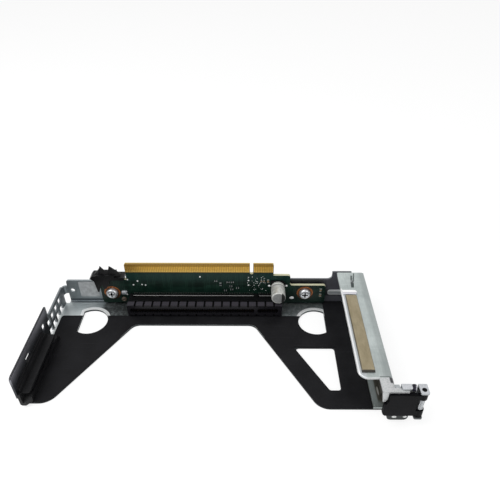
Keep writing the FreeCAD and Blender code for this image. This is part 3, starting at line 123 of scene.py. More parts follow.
class Finish(Recipe):
    """The look of one surface, with sizes in millimetres on the object's own coordinates."""

    def __init__(self, name):
        self.material = bpy.data.materials.new(name)
        self.material.use_nodes = True
        super().__init__(self.material.node_tree)
        self.tree.nodes.clear()
        metres = self.node("ShaderNodeTexCoord", output="Object")
        self.place = self.node("ShaderNodeVectorMath", {"operation": "SCALE"}, {0: metres, "Scale": 1000.0})

    def parts(self, vector):
        split = self.node("ShaderNodeSeparateXYZ", (), {0: vector})
        return [Tone(self, socket) for socket in split.socket.node.outputs]

    def axes(self):
        """Where the point lies along X, Y and Z, in millimetres."""
        return self.parts(self.place)

    def facing(self):
        """How far the surface turns to X, Y and Z."""
        return self.parts(self.node("ShaderNodeTexCoord", output="Normal"))

    def moved(self, scale, shift=(0, 0, 0), turn=(0, 0, 0)):
        """The same places, stretched, shifted and turned, for a pattern with a direction."""
        return self.node("ShaderNodeMapping", (), {"Vector": self.place, "Location": shift,
                                                   "Rotation": turn, "Scale": scale})

    def noise(self, scale, detail=3.0, where=None, rough=0.5):
        return self.node("ShaderNodeTexNoise", (), {"Vector": where or self.place, "Scale": scale,
                                                    "Detail": detail, "Roughness": rough})

    def cells(self, scale):
        """How far each point is from the middle of its cell."""
        return self.node("ShaderNodeTexVoronoi", (), {"Vector": self.place, "Scale": scale}, "Distance")

    def ramp(self, value, *stops):
        return self.node("ShaderNodeValToRGB", {"stops": stops}, {0: value})

    def mix(self, factor, first, second):
        return self.node("ShaderNodeMix", {"data_type": "RGBA"}, {0: factor, 6: first, 7: second}, 2)

    def bump(self, height, depth, strength):
        return self.node("ShaderNodeBump", (), {"Height": height, "Distance": depth / 1000,
                                                "Strength": strength})

    def skin(self, **sockets):
        """Ends the tree in a shader whose sockets are named with _ for a space."""
        named = {name.replace("_", " "): value for name, value in sockets.items()}
        if "Specular" in named:
            named["Specular IOR Level"] = named.pop("Specular")
        shader = self.node("ShaderNodeBsdfPrincipled", (), named)
        self.node("ShaderNodeOutputMaterial", (), {"Surface": shader})
        return self.material


def seen(red, green, blue):
    """A colour as it looks in daylight, 0 to 255, in the measure that shaders use."""
    return tuple((part / 255) ** 2.2 for part in (red, green, blue))


table_level = -0.0003
table_reach = 3.0
corners = [(-table_reach, -table_reach), (table_reach, -table_reach),
           (table_reach, table_reach), (-table_reach, table_reach)]
top = bpy.data.meshes.new("table_top")
top.from_pydata([(x, y, table_level) for x, y in corners], [], [(0, 1, 2, 3)])
table = bpy.data.objects.new("table_top", top)
bpy.context.scene.collection.objects.link(table)
pale = Finish("pale_table")
straight_sight = pale.node("ShaderNodeLightPath", output="Is Camera Ray")
mirrored = pale.node("ShaderNodeLightPath", output="Is Glossy Ray")
through = pale.node("ShaderNodeLightPath", output="Is Transmission Ray")
paper = pale.mix(pale.noise(0.02, 4), seen(243, 243, 244), seen(249, 249, 249))
matt = pale.node("ShaderNodeBsdfDiffuse", (), {"Color": paper})
part_matt = pale.node("ShaderNodeBsdfDiffuse", (), {"Color": (0.3, 0.3, 0.3)})
glow = pale.node("ShaderNodeEmission", (), {"Color": (1, 1, 1), "Strength": 0.76})
lit = pale.node("ShaderNodeAddShader", (), {0: part_matt, 1: glow})
clean = pale.node("ShaderNodeMixShader", (), {0: straight_sight + mirrored + through, 1: matt, 2: lit})
pale.node("ShaderNodeOutputMaterial", (), {"Surface": clean})
top.materials.append(pale.material)

world = bpy.data.worlds.new("daylight")
world.use_nodes = True
bpy.context.scene.world = world
sky = Recipe(world.node_tree)
sky.tree.nodes.clear()
plain_sight = sky.node("ShaderNodeLightPath", output="Is Camera Ray")
in_metal = sky.node("ShaderNodeLightPath", output="Is Glossy Ray")
in_glass = sky.node("ShaderNodeLightPath", output="Is Transmission Ray")
daylight = 0.55
shown = (plain_sight + in_metal + in_glass) * (1 - daylight) + daylight
backdrop = sky.node("ShaderNodeBackground", (), {"Color": (1, 1, 1), "Strength": shown})
sky.node("ShaderNodeOutputWorld", (), {"Surface": backdrop})
part_middle = Vector((0.0, -0.03, 0.0))


def lamp(name, place, width, watts):
    """A square lamp that shines on the middle of the part."""
    light = bpy.data.lights.new(name, "AREA")
    light.shape = "SQUARE"
    light.size = width
    light.energy = watts
    holder = bpy.data.objects.new(name, light)
    bpy.context.scene.collection.objects.link(holder)
    holder.location = place
    aim = part_middle - Vector(place)
    holder.rotation_euler = aim.to_track_quat("-Z", "Y").to_euler()


lamp("window_lamp", (-0.40, -0.25, 0.75), 0.6, 4.0)
lamp("far_lamp", (0.55, -0.65, 0.60), 0.7, 1.6)

# The camera stands in front of the riser and above it, a little right of the middle,
# and looks down on it with a lens that is as long as its sensor is wide.
camera_place = (0.02996, -0.22119, 0.20620)
sensor = 36.0
pitch, yaw, roll = math.radians(36.68), math.radians(-0.32), math.radians(-0.06)
ahead = Vector((math.sin(yaw) * math.cos(pitch), math.cos(yaw) * math.cos(pitch), -math.sin(pitch)))
right = ahead.cross(Vector((0, 0, 1))).normalized()
up = right.cross(ahead)
across = right * math.cos(roll) + up * math.sin(roll)
upward = up * math.cos(roll) - right * math.sin(roll)
lens = bpy.data.cameras.new("camera")
lens.sensor_width = sensor
lens.lens = sensor
lens.shift_x = 0.00088
lens.clip_start, lens.clip_end = 0.01, 20.0
camera = bpy.data.objects.new("camera", lens)
bpy.context.scene.collection.objects.link(camera)
camera.matrix_world = Matrix.Translation(camera_place) @ Matrix((
    (across.x, upward.x, -ahead.x), (across.y, upward.y, -ahead.y), (across.z, upward.z, -ahead.z),
)).to_4x4()
bpy.context.scene.camera = camera
bpy.context.scene.view_settings.view_transform = "Standard"

# The two folded frames and the small latch bracket: zinc-coated sheet steel, 1 mm and
# 0.8 mm thick, stamped and bent. The rolled zinc has a fine grain, cloudy patches and
# a few handling marks.
def dress(material, *names):
    """Gives carried-over solids their finish."""
    for name in names:
        part = solids[name]
        if not part.material_slots:
            part.data.materials.append(material)
        for place in part.material_slots:
            place.material = material


def zinc_sheet(name, dark, light, grain_way):
    """Starts a finish of rolled zinc: its tree, colour, roughness and relief."""
    finish = Finish(name)
    grain = finish.noise(1.0, 4, finish.moved(grain_way), 0.65)
    cloud = finish.noise(0.045, 3)
    mottle = finish.noise(0.35, 5, None, 0.6)
    speck = finish.noise(6.0, 2)
    scratch = finish.noise(1.0, 2, finish.moved((0.03, 3.5, 0.9), (7, 3, 0), (0, 0, 0.5))).above(0.68, 0.02)
    tint = cloud * 0.45 + grain * 0.25 + mottle * 0.3
    metal = finish.ramp(tint, (0.32, dark), (0.5, tuple((a + b) / 2 for a, b in zip(dark, light))),
                        (0.66, light))
    metal = finish.mix(scratch * 0.25, metal, tuple(part * 1.35 for part in light))
    metal = finish.mix(speck.above(0.66, 0.05) * 0.2, metal, dark)
    return finish, metal, 0.38 + mottle * 0.16 - scratch * 0.1, grain * 0.6 + speck * 0.4


# The bracket, stamped with a floor, a back wall and a left wall in one. Highlights are painted
# on its raised rims and beads, and shade is painted grey in its corners, dark on the left
# wall's inner side, under the slot and along the board. It is dark round the film, and a dark
# reflection is painted on the back wall behind the board's right end.
left_wall = -81.0
rims_start = -3.0
bracket, metal, rough, relief = zinc_sheet(
    "bracket_zinc", seen(138, 146, 149), seen(180, 187, 189), (0.08, 1.5, 1.5))
at_x, at_y, at_z = bracket.axes()
to_x, to_y, to_z = bracket.facing()
upright = 1 - abs(to_z).above(0.6, 0.2)
on_back = abs(to_y).above(0.7, 0.2) * at_y.above(2.0, 0.3)
corner = at_y.above(1.7, 0.4) * at_z.within(0.9, 2.3, 0.3)
floor = at_z.below(1.3, 0.1) * at_y.below(2.0, 0.3)
blotches = bracket.noise(0.55, 4, None, 0.7).above(0.46, 0.08)
# The back wall and its foot, painted darker as shade, and the floor: paler at the left,
# less so near the back wall, with a painted shadow and dark reflection along the board.
metal = bracket.mix(on_back * 0.55, metal, seen(112, 118, 121))
metal = bracket.mix(corner * 0.5, metal, seen(84, 90, 94))
metal = bracket.mix(floor * at_x.below(-64.0, 3.0) * (0.84 - at_y.above(-7.0, 4.0) * 0.5), metal,
                    seen(206, 212, 212))
# Painted shadow of the board and dark reflection of the slot, in blotches on the floor and the back wall.
by_board = at_x.within(-59.0, 0.0, 2.5) * at_y.above(-13.5, 0.5)
metal = bracket.mix(by_board * (floor * (0.6 + blotches * 0.25) + on_back * 0.3), metal, seen(44, 48, 47))
# The shade under the slot.
under_slot = floor * at_x.within(-42.0, 47.6, 0.3) * at_y.above(-12.8, 0.3)
metal = bracket.mix(under_slot * 0.9, metal, seen(22, 22, 23))
# The back wall right of the board, painted dark as a reflection and lighter above the bead's end, and its cut
# top edge.
right_end = on_back * at_x.above(49.0, 3.0)
metal = bracket.mix(right_end * 0.9, metal, seen(58, 59, 64))
over_bead = right_end * at_x.above(72.0, 3.0) * at_z.above(10.5, 1.5)
metal = bracket.mix(over_bead * 0.8, metal, seen(116, 116, 124))
top_cut = at_y.above(2.6, 0.2) * to_z.above(0.6, 0.2) * at_x.above(46.0, 2.0) * at_z.above(15.0, 0.5)
metal = bracket.mix(top_cut * 0.8, metal, seen(92, 92, 96))
# The left wall's inner side, painted darker as shade: lined grey low down and dark above, with a dark cut
# edge on top.
side_wall = at_x.below(left_wall, 0.2) * to_x.above(-0.5, 0.2) * at_z.above(1.4, 0.3)
metal = bracket.mix(side_wall * 0.7, metal, seen(96, 100, 104))
lines = at_y.swing(0.6).above(0.3, 0.2)
lined_wall_shade = bracket.mix(lines * 0.3, seen(150, 150, 158), seen(104, 104, 110))
lined_wall_shade = bracket.mix(at_z.above(17.2, 3.4), seen(54, 55, 60), lined_wall_shade)
metal = bracket.mix(side_wall * at_y.below(-24.5, 0.5) * 0.9, metal, lined_wall_shade)
left_cut = at_x.below(left_wall, 0.2) * to_z.above(0.5, 0.2) * at_z.above(12.0, 1.0) * at_y.below(-24.0, 1.0)
metal = bracket.mix(left_cut * 0.9, metal, seen(30, 30, 33))
# Painted shade in the fold and the crease at the back wall's foot, the dark margin by the film, and the
# floor's dark cut edges.
fold = at_z.within(1.02, 2.6, 0.3) * at_y.above(1.2, 0.4) * at_x.below(-58.0, 2.0)
metal = bracket.mix(fold * 0.75, metal, seen(80, 86, 92))
crease = at_z.within(0.9, 1.5, 0.15) * at_y.above(0.9, 0.3) * at_x.within(-76.0, -58.0, 2.0)
metal = bracket.mix(crease * 0.7, metal, seen(66, 72, 76))
film_margin = floor * at_y.below(-27.0, 1.0)
metal = bracket.mix(film_margin * 0.95, metal, seen(30, 31, 33))
rim_edge = upright * at_z.below(1.05, 0.05) * at_y.below(1.0, 0.5)
metal = bracket.mix(rim_edge * 0.96, metal, seen(30, 31, 33))
# The floor right of the slot, lightly stained.
right_floor = at_x.within(46.0, 80.0, 3.0) * floor * at_y.above(-12.0, 1.0)
metal = bracket.mix(right_floor * (0.25 + blotches * 0.35), metal, seen(76, 82, 81))
# Painted highlights on the raised rims and on the bead at the back wall's right end, and a line of painted
# shade on the rims' inner lips.
on_rims = at_y.below(rims_start, 0.5)
raised = at_z.within(1.12, 1.7, 0.05) * on_rims
inner_lip = at_z.within(1.02, 1.3, 0.04) * on_rims * upright
back_bead = at_x.within(74.6, 83.6, 0.3) * at_y.within(2.0, 2.85, 0.05) * at_z.within(6.4, 10.4, 0.2)
bead_edges = back_bead * (at_z.above(9.2, 0.25) + at_z.below(7.5, 0.2) * 0.6 + at_x.below(75.8, 0.4) * 0.5)
rim_and_bead_highlight = raised + bead_edges
metal = bracket.mix(back_bead * 0.9, metal, seen(214, 220, 224))
metal = bracket.mix(rim_and_bead_highlight * 0.9, metal, seen(236, 238, 238))
metal = bracket.mix(inner_lip * 0.6, metal, seen(80, 84, 86))
dress(bracket.skin(Base_Color=metal, Metallic=0.88 - rim_and_bead_highlight * 0.5, Roughness=rough - rim_and_bead_highlight * 0.1,
                   Normal=bracket.bump(relief, 0.012, 0.6)), "bracket_frame")

# The rear frame: shelf, connector wall and card seat in one paler sheet. The shelf's bead
# carries a painted highlight, and the seat and the wall under its front end are painted brown
# as shade. The shelf's cut front end is painted dark as shade, with two bright spots on the
# lug below it.
shelf_level = 22.9
inner_face = 94.2
port, metal, rough, relief = zinc_sheet(
    "port_zinc", seen(160, 168, 167), seen(198, 206, 204), (1.5, 0.08, 1.5))
at_x, at_y, at_z = port.axes()
to_x = port.facing()[0]
# The shelf, streaked, greyer to the right and the front, with a painted highlight along its rolled left edge.
streak = port.noise(1.0, 3, port.moved((2.6, 0.25, 1)))
metal = port.mix(streak.above(0.52, 0.1) * 0.14, metal, seen(142, 150, 150))
on_shelf = at_z.above(shelf_level, 0.1)
metal = port.mix(on_shelf * at_x.above(90.8, 1.2) * 0.38, metal, seen(120, 126, 126))
metal = port.mix(on_shelf * at_y.below(-60.0, 8.0) * 0.22, metal, seen(120, 124, 124))
metal = port.mix(on_shelf * at_x.above(94.1, 0.15) * at_y.above(-72.0, 0.3) * 0.6, metal, seen(92, 97, 96))
rolled = on_shelf * at_x.below(82.6, 0.5) * at_y.below(-17.6, 0.5)
metal = port.mix(rolled * 0.4, metal, seen(206, 206, 213))
metal = port.mix(on_shelf * at_x.below(79.9, 0.25) * at_y.below(-12.0, 1.0) * 0.7, metal, seen(246, 246, 247))
# The painted highlight on the bead across the shelf's rear, white above and greyer below, and a line of
# painted shade at the step at its front.
crest = at_z.above(23.95, 0.05)
metal = port.mix(crest * at_y.within(-17.4, -15.6, 0.3) * 0.8, metal, seen(206, 204, 212))
metal = port.mix(crest * at_y.within(-15.6, -13.2, 0.3) * 0.95, metal, seen(250, 250, 250))
step_line = at_y.within(-72.95, -72.5, 0.12) * at_x.within(88.4, 94.6, 0.2) * at_z.above(23.7, 0.1)
metal = port.mix(step_line * 0.75, metal, seen(80, 84, 84))
# The card seat and the inner side of the wall, painted darker and brown as shade.
seat = at_z.within(1.5, 2.1, 0.05) * at_y.below(-50.0, 1.0) * at_y.above(-78.0, 0.5)
metal = port.mix(seat * 0.5, metal, seen(86, 92, 92))
brown_shade = port.mix(port.noise(0.5, 4), seen(60, 56, 50), seen(104, 98, 86))
metal = port.mix(seat * at_x.above(91.5, 0.35) * at_y.above(-70.0, 1.5) * 0.85, metal, brown_shade)
under_shelf = at_z.below(shelf_level, 0.3) * at_x.below(inner_face, 0.2)
inner_wall = abs(to_x).above(0.6, 0.2) * at_y.below(-52.0, 1.0) * under_shelf
metal = port.mix(inner_wall * 0.85, metal, brown_shade)


def spot(finish, first, first_middle, first_reach, second, second_middle, second_reach, soft=0.15):
    """1 inside an oval that two of the axes span."""
    across = (first - first_middle) / first_reach
    along = (second - second_middle) / second_reach
    return (across * across + along * along).below(1.0, soft)


# A pale oval painted on the seat, and a dark round hole painted near the wall's foot.
pale_oval = seat * spot(port, at_x, 92.55, 0.42, at_y, -63.7, 2.6, 0.3)
metal = port.mix(pale_oval * 0.9, metal, seen(214, 213, 208))
drain = inner_wall * spot(port, at_y, -66.9, 0.75, at_z, 3.3, 0.8)
metal = port.mix(drain, metal, seen(16, 15, 15))
# The lug below the shelf's front end, darkened, with two bright spots.
lug = at_y.below(-78.0, 0.2) * at_z.below(6.4, 0.6)
metal = port.mix(lug * 0.95, metal, seen(46, 48, 48))
spot_breakup = port.noise(1.6, 3).above(0.42, 0.12)
bright_spots = spot(port, at_x, 97.0, 1.1, at_z, 2.8, 0.7, 0.5) + spot(port, at_x, 102.0, 0.9, at_z, 2.9, 0.7, 0.5)
metal = port.mix(lug * bright_spots * (0.35 + spot_breakup * 0.65), metal, seen(232, 233, 232))
# The flecked ledge, and painted shade on the cut end of the shelf above the wall.
ledge = at_y.below(-73.2, 0.2) * at_z.above(15.0, 1.0)
fleck = port.noise(1.9, 3).above(0.5, 0.12)
metal = port.mix(ledge * (0.28 + fleck * 0.4), metal, seen(212, 210, 212))
cut_end = at_x.above(92.6, 0.2) * at_y.within(-76.2, -73.1, 0.3) * at_z.above(15.0, 1.0)
metal = port.mix(cut_end * 0.92, metal, seen(40, 40, 44))
dress(port.skin(Base_Color=metal, Metallic=0.88 - ledge * 0.3, Roughness=rough,
                Normal=port.bump(relief, 0.012, 0.6)), "rear_frame")

# The latch bracket: a small folded plate whose ears carry the hinge pin. Its upward faces
# are speckled pale, and the mouth of the pin's hole in the upper ear is painted black as shade.
hole_x, hole_y, hole_radius = 106.45, -80.7, 1.12
ears, metal, rough, relief = zinc_sheet(
    "latch_zinc", seen(136, 140, 143), seen(186, 190, 192), (1.2, 1.2, 0.1))
at_x, at_y, at_z = ears.axes()
to_z = ears.facing()[2]
speckle = ears.noise(1.7, 3).above(0.5, 0.14)
ear_tops = at_z.above(23.9, 0.1) * to_z.above(0.6, 0.2)
metal = ears.mix(ear_tops * (0.3 + speckle * 0.3), metal, seen(220, 221, 226))
ear_hole = spot(ears, at_x, hole_x, hole_radius, at_y, hole_y, hole_radius)
metal = ears.mix(at_z.above(24.3, 0.1) * ear_hole, metal, seen(8, 8, 9))
metal = ears.mix(at_z.below(8.0, 0.3) * at_x.above(101.0, 0.5) * 0.7, metal, seen(60, 62, 64))
dress(ears.skin(Base_Color=metal, Metallic=0.88, Roughness=rough, Normal=ears.bump(relief, 0.012, 0.6)),
      "latch_bracket")

# The insulating film on the floor: matt black polyester, a quarter millimetre thick,
# cut to the floor and glued down. A tail at its right end turns up the back wall, and is
# painted greyer there as light.
film = Finish("matt_black_film")
haze = film.noise(0.08, 3)
orange_peel = film.noise(2.2, 3)
dust = film.cells(1.6).below(0.06, 0.03) * film.noise(0.4, 2).above(0.5, 0.1)
rub = film.noise(1.0, 3, film.moved((0.05, 1.8, 1.0), (3, 0, 0), (0, 0, 0.25))).above(0.66, 0.05)
black = film.ramp(haze * 0.6 + orange_peel * 0.4, (0.35, seen(22, 22, 24)), (0.65, seen(33, 33, 35)))
black = film.mix(rub * 0.18, black, seen(54, 54, 57))
black = film.mix(dust * 0.5, black, seen(120, 120, 122))
film_z = film.axes()[2]
black = film.mix(film_z.above(2.0, 0.5) * 0.9, black, seen(76, 77, 82))
film_skin = film.skin(Base_Color=black, Roughness=0.5 + haze * 0.2, Specular=0.12,
                      Normal=film.bump(orange_peel, 0.02, 0.7))
dress(film_skin, "insulation_film")

# The board: glass-fibre laminate 1.6 mm thick under dark green lacquer, with copper
# tracks showing faintly through. Its sawn edges are bare and cream, and the tongue is
# bare and brown between the fingers.
laminate = Finish("board_lacquer")
across_x, _, height_z = laminate.axes()
side_y = laminate.facing()[1]
mist = laminate.noise(0.09, 3)
weave = laminate.noise(1.0, 1, laminate.moved((2.4, 2.4, 2.4)))
lanes = across_x.swing(0.5).above(0.27, 0.06)
lane_here = laminate.noise(1.0, 0, laminate.moved((0.32, 1, 0.05), (11, 0, 4))).above(0.5, 0.03)
low_lanes = height_z.swing(0.42).above(0.24, 0.05)
low_here = laminate.noise(1.0, 0, laminate.moved((0.05, 1, 0.4), (5, 0, 9))).above(0.56, 0.03)
tracks = lanes * lane_here * height_z.within(11, 24.5, 0.4) + low_lanes * low_here * height_z.below(18, 1)
green = laminate.ramp(mist, (0.3, seen(7, 24, 19)), (0.7, seen(17, 38, 31)))
green = laminate.mix(height_z.within(19.0, 25.0, 2.0) * 0.35, green, seen(22, 56, 52))
green = laminate.mix(tracks * 0.3, green, seen(40, 66, 56))
strands = laminate.noise(1.0, 3, laminate.moved((0.5, 6, 6)))
fibre = laminate.mix(strands, seen(176, 174, 142), seen(222, 220, 192))
sawn = 1 - abs(side_y).above(0.5, 0.1)
bare = height_z.above(25.3, 0.1) * across_x.within(-42.6, 42.6, 0.1)
green = laminate.mix(bare, green, seen(122, 98, 52))
fibre = laminate.mix(bare * height_z.above(30.9, 0.1), fibre, seen(202, 174, 104))
board_skin = laminate.skin(
    Base_Color=laminate.mix(sawn, green, fibre),
    Roughness=0.34 + weave * 0.12 + sawn * 0.3,
    Specular=0.2,
    Normal=laminate.bump(tracks * 0.8 + weave * 0.2, 0.03, 0.6))
dress(board_skin, "riser_board")

# The edge fingers: hard gold over nickel on both faces of the tongue, 0.05 mm high,
# darker near the top edge, where the connector rubs them, and towards the left end.
fingers = Finish("finger_gold")
finger_x, _, finger_z = fingers.axes()
rubbed = fingers.noise(1.0, 3, fingers.moved((2.5, 1, 0.25)))
shine = fingers.ramp(rubbed, (0.3, seen(182, 140, 58)), (0.7, seen(212, 170, 80)))
shine = fingers.mix(finger_x.below(-36.0, 4.0) * 0.5, shine, seen(118, 84, 36))
shine = fingers.mix(finger_z.above(29.5, 0.25) * 0.75, shine, seen(134, 100, 34))
shine = fingers.mix(finger_z.below(26.6, 0.4) * 0.4, shine, seen(226, 196, 112))
gold_skin = fingers.skin(Base_Color=shine, Metallic=0.72, Roughness=0.34 + rubbed * 0.14,
                         Normal=fingers.bump(rubbed, 0.006, 0.5))
dress(gold_skin, "edge_contacts_front", "edge_contacts_rear")

# The rings under the two screws: bare copper lands on the board, browned by the solder
# bath, with shade painted dark on their lower halves and black round the screws' holes. The
# screws stand evenly about one middle.
screws_middle, screws_reach, screws_level = 4.55, 56.65, 10.0
ring = Finish("browned_copper")
blotches = ring.noise(1.1, 4, None, 0.6)
copper = ring.ramp(blotches, (0.32, seen(86, 44, 24)), (0.5, seen(132, 78, 42)), (0.7, seen(190, 128, 74)))
ring_x, _, ring_z = ring.axes()
copper = ring.mix(ring_z.below(8.6, 1.4) * 0.8, copper, seen(28, 24, 20))
from_screw = abs(ring_x - screws_middle) - screws_reach
hole_edge = spot(ring, from_screw, 0.0, 3.75, ring_z, screws_level, 3.75, 0.08)
copper = ring.mix(hole_edge * 0.8, copper, seen(26, 20, 16))
ring_skin = ring.skin(Base_Color=copper, Metallic=0.6, Roughness=0.32 + blotches * 0.25,
                      Normal=ring.bump(blotches, 0.01, 0.5))
dress(ring_skin, "ground_rings")


# The small tinned lands and the plated holes of the board. The holes' rims are scattered
# right of the middle, where the tracks change layer.
class Pattern(Recipe):
    """Geometry that repeats or follows a rule, with its sizes as named inputs."""

    def __init__(self, name):
        super().__init__(bpy.data.node_groups.new(name, "GeometryNodeTree"))
        self.tree.interface.new_socket("Geometry", in_out="OUTPUT", socket_type="NodeSocketGeometry")
        self.entry = self.tree.nodes.new("NodeGroupInput")
        self.sizes = []

    def size(self, name, value, kind="NodeSocketFloat"):
        """A named input of the tree."""
        item = self.tree.interface.new_socket(name, in_out="INPUT", socket_type=kind)
        self.sizes.append((item.identifier, value))
        return Tone(self, self.entry.outputs[name])

    def piece(self, name, geometry, material):
        """Ends the tree, makes its geometry and keeps that as a plain mesh."""
        whole = self.node("GeometryNodeRealizeInstances", (), {0: geometry})
        dressed = self.node("GeometryNodeSetMaterial", (), {"Geometry": whole, "Material": material})
        way_out = self.tree.nodes.new("NodeGroupOutput")
        self.tree.links.new(dressed.socket, way_out.inputs[0])
        holder = bpy.data.objects.new(name, bpy.data.meshes.new(name))
        bpy.context.scene.collection.objects.link(holder)
        maker = holder.modifiers.new(name, "NODES")
        maker.node_group = self.tree
        for identifier, value in self.sizes:
            maker[identifier] = value
        bpy.context.view_layer.update()
        ready = holder.evaluated_get(bpy.context.evaluated_depsgraph_get())
        mesh = bpy.data.meshes.new_from_object(ready)
        holder.modifiers.remove(maker)
        holder.data = mesh
        return holder


tin = Finish("bright_tin")
ripple = tin.noise(1.6, 3)
tin_tone = tin.ramp(ripple, (0.35, seen(214, 216, 216)), (0.65, seen(246, 246, 246)))
tin_skin = tin.skin(Base_Color=tin_tone, Metallic=0.2, Roughness=0.2 + ripple * 0.2,
                    Normal=tin.bump(ripple, 0.04, 0.5))
dress(tin_skin, "test_pads", "capacitor_leads")

rims = Pattern("plated_holes")
seed = rims.size("Seed", 5, "NodeSocketInt")
count = rims.size("Count", 46, "NodeSocketInt")
rim_radius = rims.size("Rim radius", 0.00018)
rim_height = rims.size("Rim height", 0.00006)
low_corner = rims.size("Low corner", (0.0270, -0.00004, 0.0115), "NodeSocketVector")
high_corner = rims.size("High corner", (0.0385, -0.00004, 0.0225), "NodeSocketVector")
dots = rims.node("GeometryNodePoints", (), {
    "Count": count,
    "Position": rims.node("FunctionNodeRandomValue", {"data_type": "FLOAT_VECTOR"},
                          {0: low_corner, 1: high_corner, "Seed": seed}),
})
rim = rims.node("GeometryNodeMeshCylinder", (), {"Vertices": 10, "Radius": rim_radius, "Depth": rim_height})
rim_size = rims.node("FunctionNodeRandomValue", {"data_type": "FLOAT"}, {2: 0.55, 3: 1.25, "Seed": seed}, 1)
placed_rims = rims.node("GeometryNodeInstanceOnPoints", (), {
    "Points": dots, "Instance": rim, "Rotation": (math.pi / 2, 0, 0), "Scale": rim_size})
plated = rims.piece("plated_hole_rims", placed_rims, tin_skin)
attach(plated, "riser")

# The two screws and their threaded posts: zinc-plated steel, cross-recess pan heads that
# hold the board to the posts of the back wall. Each head's recess and upper rim are painted
# dark as shade.
screw = Finish("screw_zinc")
swirl = screw.noise(1.8, 4)
dirt = screw.noise(0.7, 3).above(0.55, 0.12)
bright = screw.ramp(swirl, (0.35, seen(168, 172, 176)), (0.65, seen(222, 225, 228)))
bright = screw.mix(dirt * 0.35, bright, seen(104, 104, 104))
screw_x, screw_y, screw_z = screw.axes()
from_axis = abs(screw_x - screws_middle) - screws_reach
in_head = spot(screw, from_axis, 0.0, 2.4, screw_z, screws_level, 2.4)
recess = in_head * screw_y.above(-1.95, 0.06)
inside_rim = spot(screw, from_axis, 0.0, 1.95, screw_z, screws_level, 1.95)
upper_rim = in_head * (1 - inside_rim) * screw_z.above(screws_level + 0.7, 0.3)
bright = screw.mix(recess + upper_rim * 0.8, bright, seen(26, 28, 32))
screw_skin = screw.skin(Base_Color=bright, Metallic=0.75, Roughness=0.22 + swirl * 0.2,
                        Normal=screw.bump(swirl, 0.02, 0.5))
dress(screw_skin, "board_screws", "board_standoffs")

# The slot: glass-filled black resin, moulded with grooves along its collar, and two rows
# of sprung contacts of gold-plated bronze in the cells of its keyed mouth.
resin = Finish("slot_resin")
gate = resin.noise(0.12, 3)
glass = resin.noise(4.5, 2)
flow = resin.noise(1.0, 3, resin.moved((0.15, 1.4, 1.4)))
body_black = resin.ramp(gate * 0.5 + flow * 0.5, (0.35, seen(12, 12, 13)), (0.65, seen(22, 22, 24)))
_, resin_y, resin_z = resin.axes()
upper_side = resin_z.above(9.6, 0.1)
# Painted light: the collar's top lighter, a painted highlight along the top's back edge, and the front face
# lighter.
collar_top = resin_y.below(-7.5, 0.1) * upper_side
body_black = resin.mix(collar_top * 0.9, body_black, seen(62, 60, 66))
body_black = resin.mix(resin_y.above(-0.9, 0.1) * upper_side, body_black, seen(132, 136, 134))
body_black = resin.mix(resin_y.below(-10.9, 0.1) * 0.7, body_black, seen(30, 29, 33))
body_black = resin.mix(glass.above(0.68, 0.04) * 0.2, body_black, seen(72, 72, 75))
resin_skin = resin.skin(Base_Color=body_black, Roughness=0.3 + glass * 0.18, Specular=0.2,
                        Normal=resin.bump(glass * 0.6 + flow * 0.4, 0.015, 0.6))
dress(resin_skin, "slot_housing")
bronze = Finish("contact_plating")
wiped = bronze.noise(2.0, 3)
contact_y = bronze.axes()[1]
contact_tone = bronze.ramp(wiped, (0.35, seen(44, 37, 28)), (0.65, seen(74, 62, 44)))
# A painted highlight on the contacts along the slot's back edge.
contact_tone = bronze.mix(contact_y.above(-0.8, 0.1), contact_tone, seen(112, 114, 112))
contact_skin = bronze.skin(Base_Color=contact_tone, Metallic=0.85, Roughness=0.25 + wiped * 0.2,
                           Normal=bronze.bump(wiped, 0.01, 0.5))
dress(contact_skin, "slot_contacts_upper", "slot_contacts_lower")

# A moulded bead along the slot's shoulder, broken at the key, where the housing's
# two cores meet. It is painted pale as a highlight.
def new_piece(name, mesh_builder, material, body):
    """Turns a finished bmesh into a piece that rides on a body."""
    bmesh.ops.recalc_face_normals(mesh_builder, faces=mesh_builder.faces)
    mesh = bpy.data.meshes.new(name)
    mesh_builder.to_mesh(mesh)
    mesh_builder.free()
    mesh.materials.append(material)
    piece = bpy.data.objects.new(name, mesh)
    bpy.context.scene.collection.objects.link(piece)
    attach(piece, body)
    return piece


def loft(builder, rings):
    """Joins rings of points, each the same length, into a skin with closed ends."""
    made = [[builder.verts.new(Vector(point) / 1000) for point in one] for one in rings]
    for first, second in zip(made, made[1:]):
        for index in range(len(first)):
            after = (index + 1) % len(first)
            builder.faces.new((first[index], first[after], second[after], second[index]))
    builder.faces.new(made[0][::-1])
    builder.faces.new(made[-1])


bead = Finish("shoulder_bead")
bead_grain = bead.noise(2.5, 3)
bead_tone = bead.ramp(bead_grain, (0.35, seen(104, 104, 104)), (0.65, seen(150, 150, 149)))
bead_skin = bead.skin(Base_Color=bead_tone, Roughness=0.35 + bead_grain * 0.2,
                      Normal=bead.bump(bead_grain, 0.02, 0.5))
bead_depth, bead_level = -1.45, 9.0
bead_deep, bead_high, taper = 0.24, 0.19, 0.25
shoulder = bmesh.new()
for start, end in ((-41.2, 31.9), (34.3, 47.0)):
    rings = []
    for x, swell in ((start, 0.4), (start + taper, 1.0), (end - taper, 1.0), (end, 0.4)):
        rings.append([(x, bead_depth + bead_deep * swell * math.cos(turn),
                       bead_level + bead_high * swell * math.sin(turn))
                      for turn in (math.pi * step / 6 for step in range(12))])
    loft(shoulder, rings)
new_piece("slot_shoulder_bead", shoulder, bead_skin, "riser")

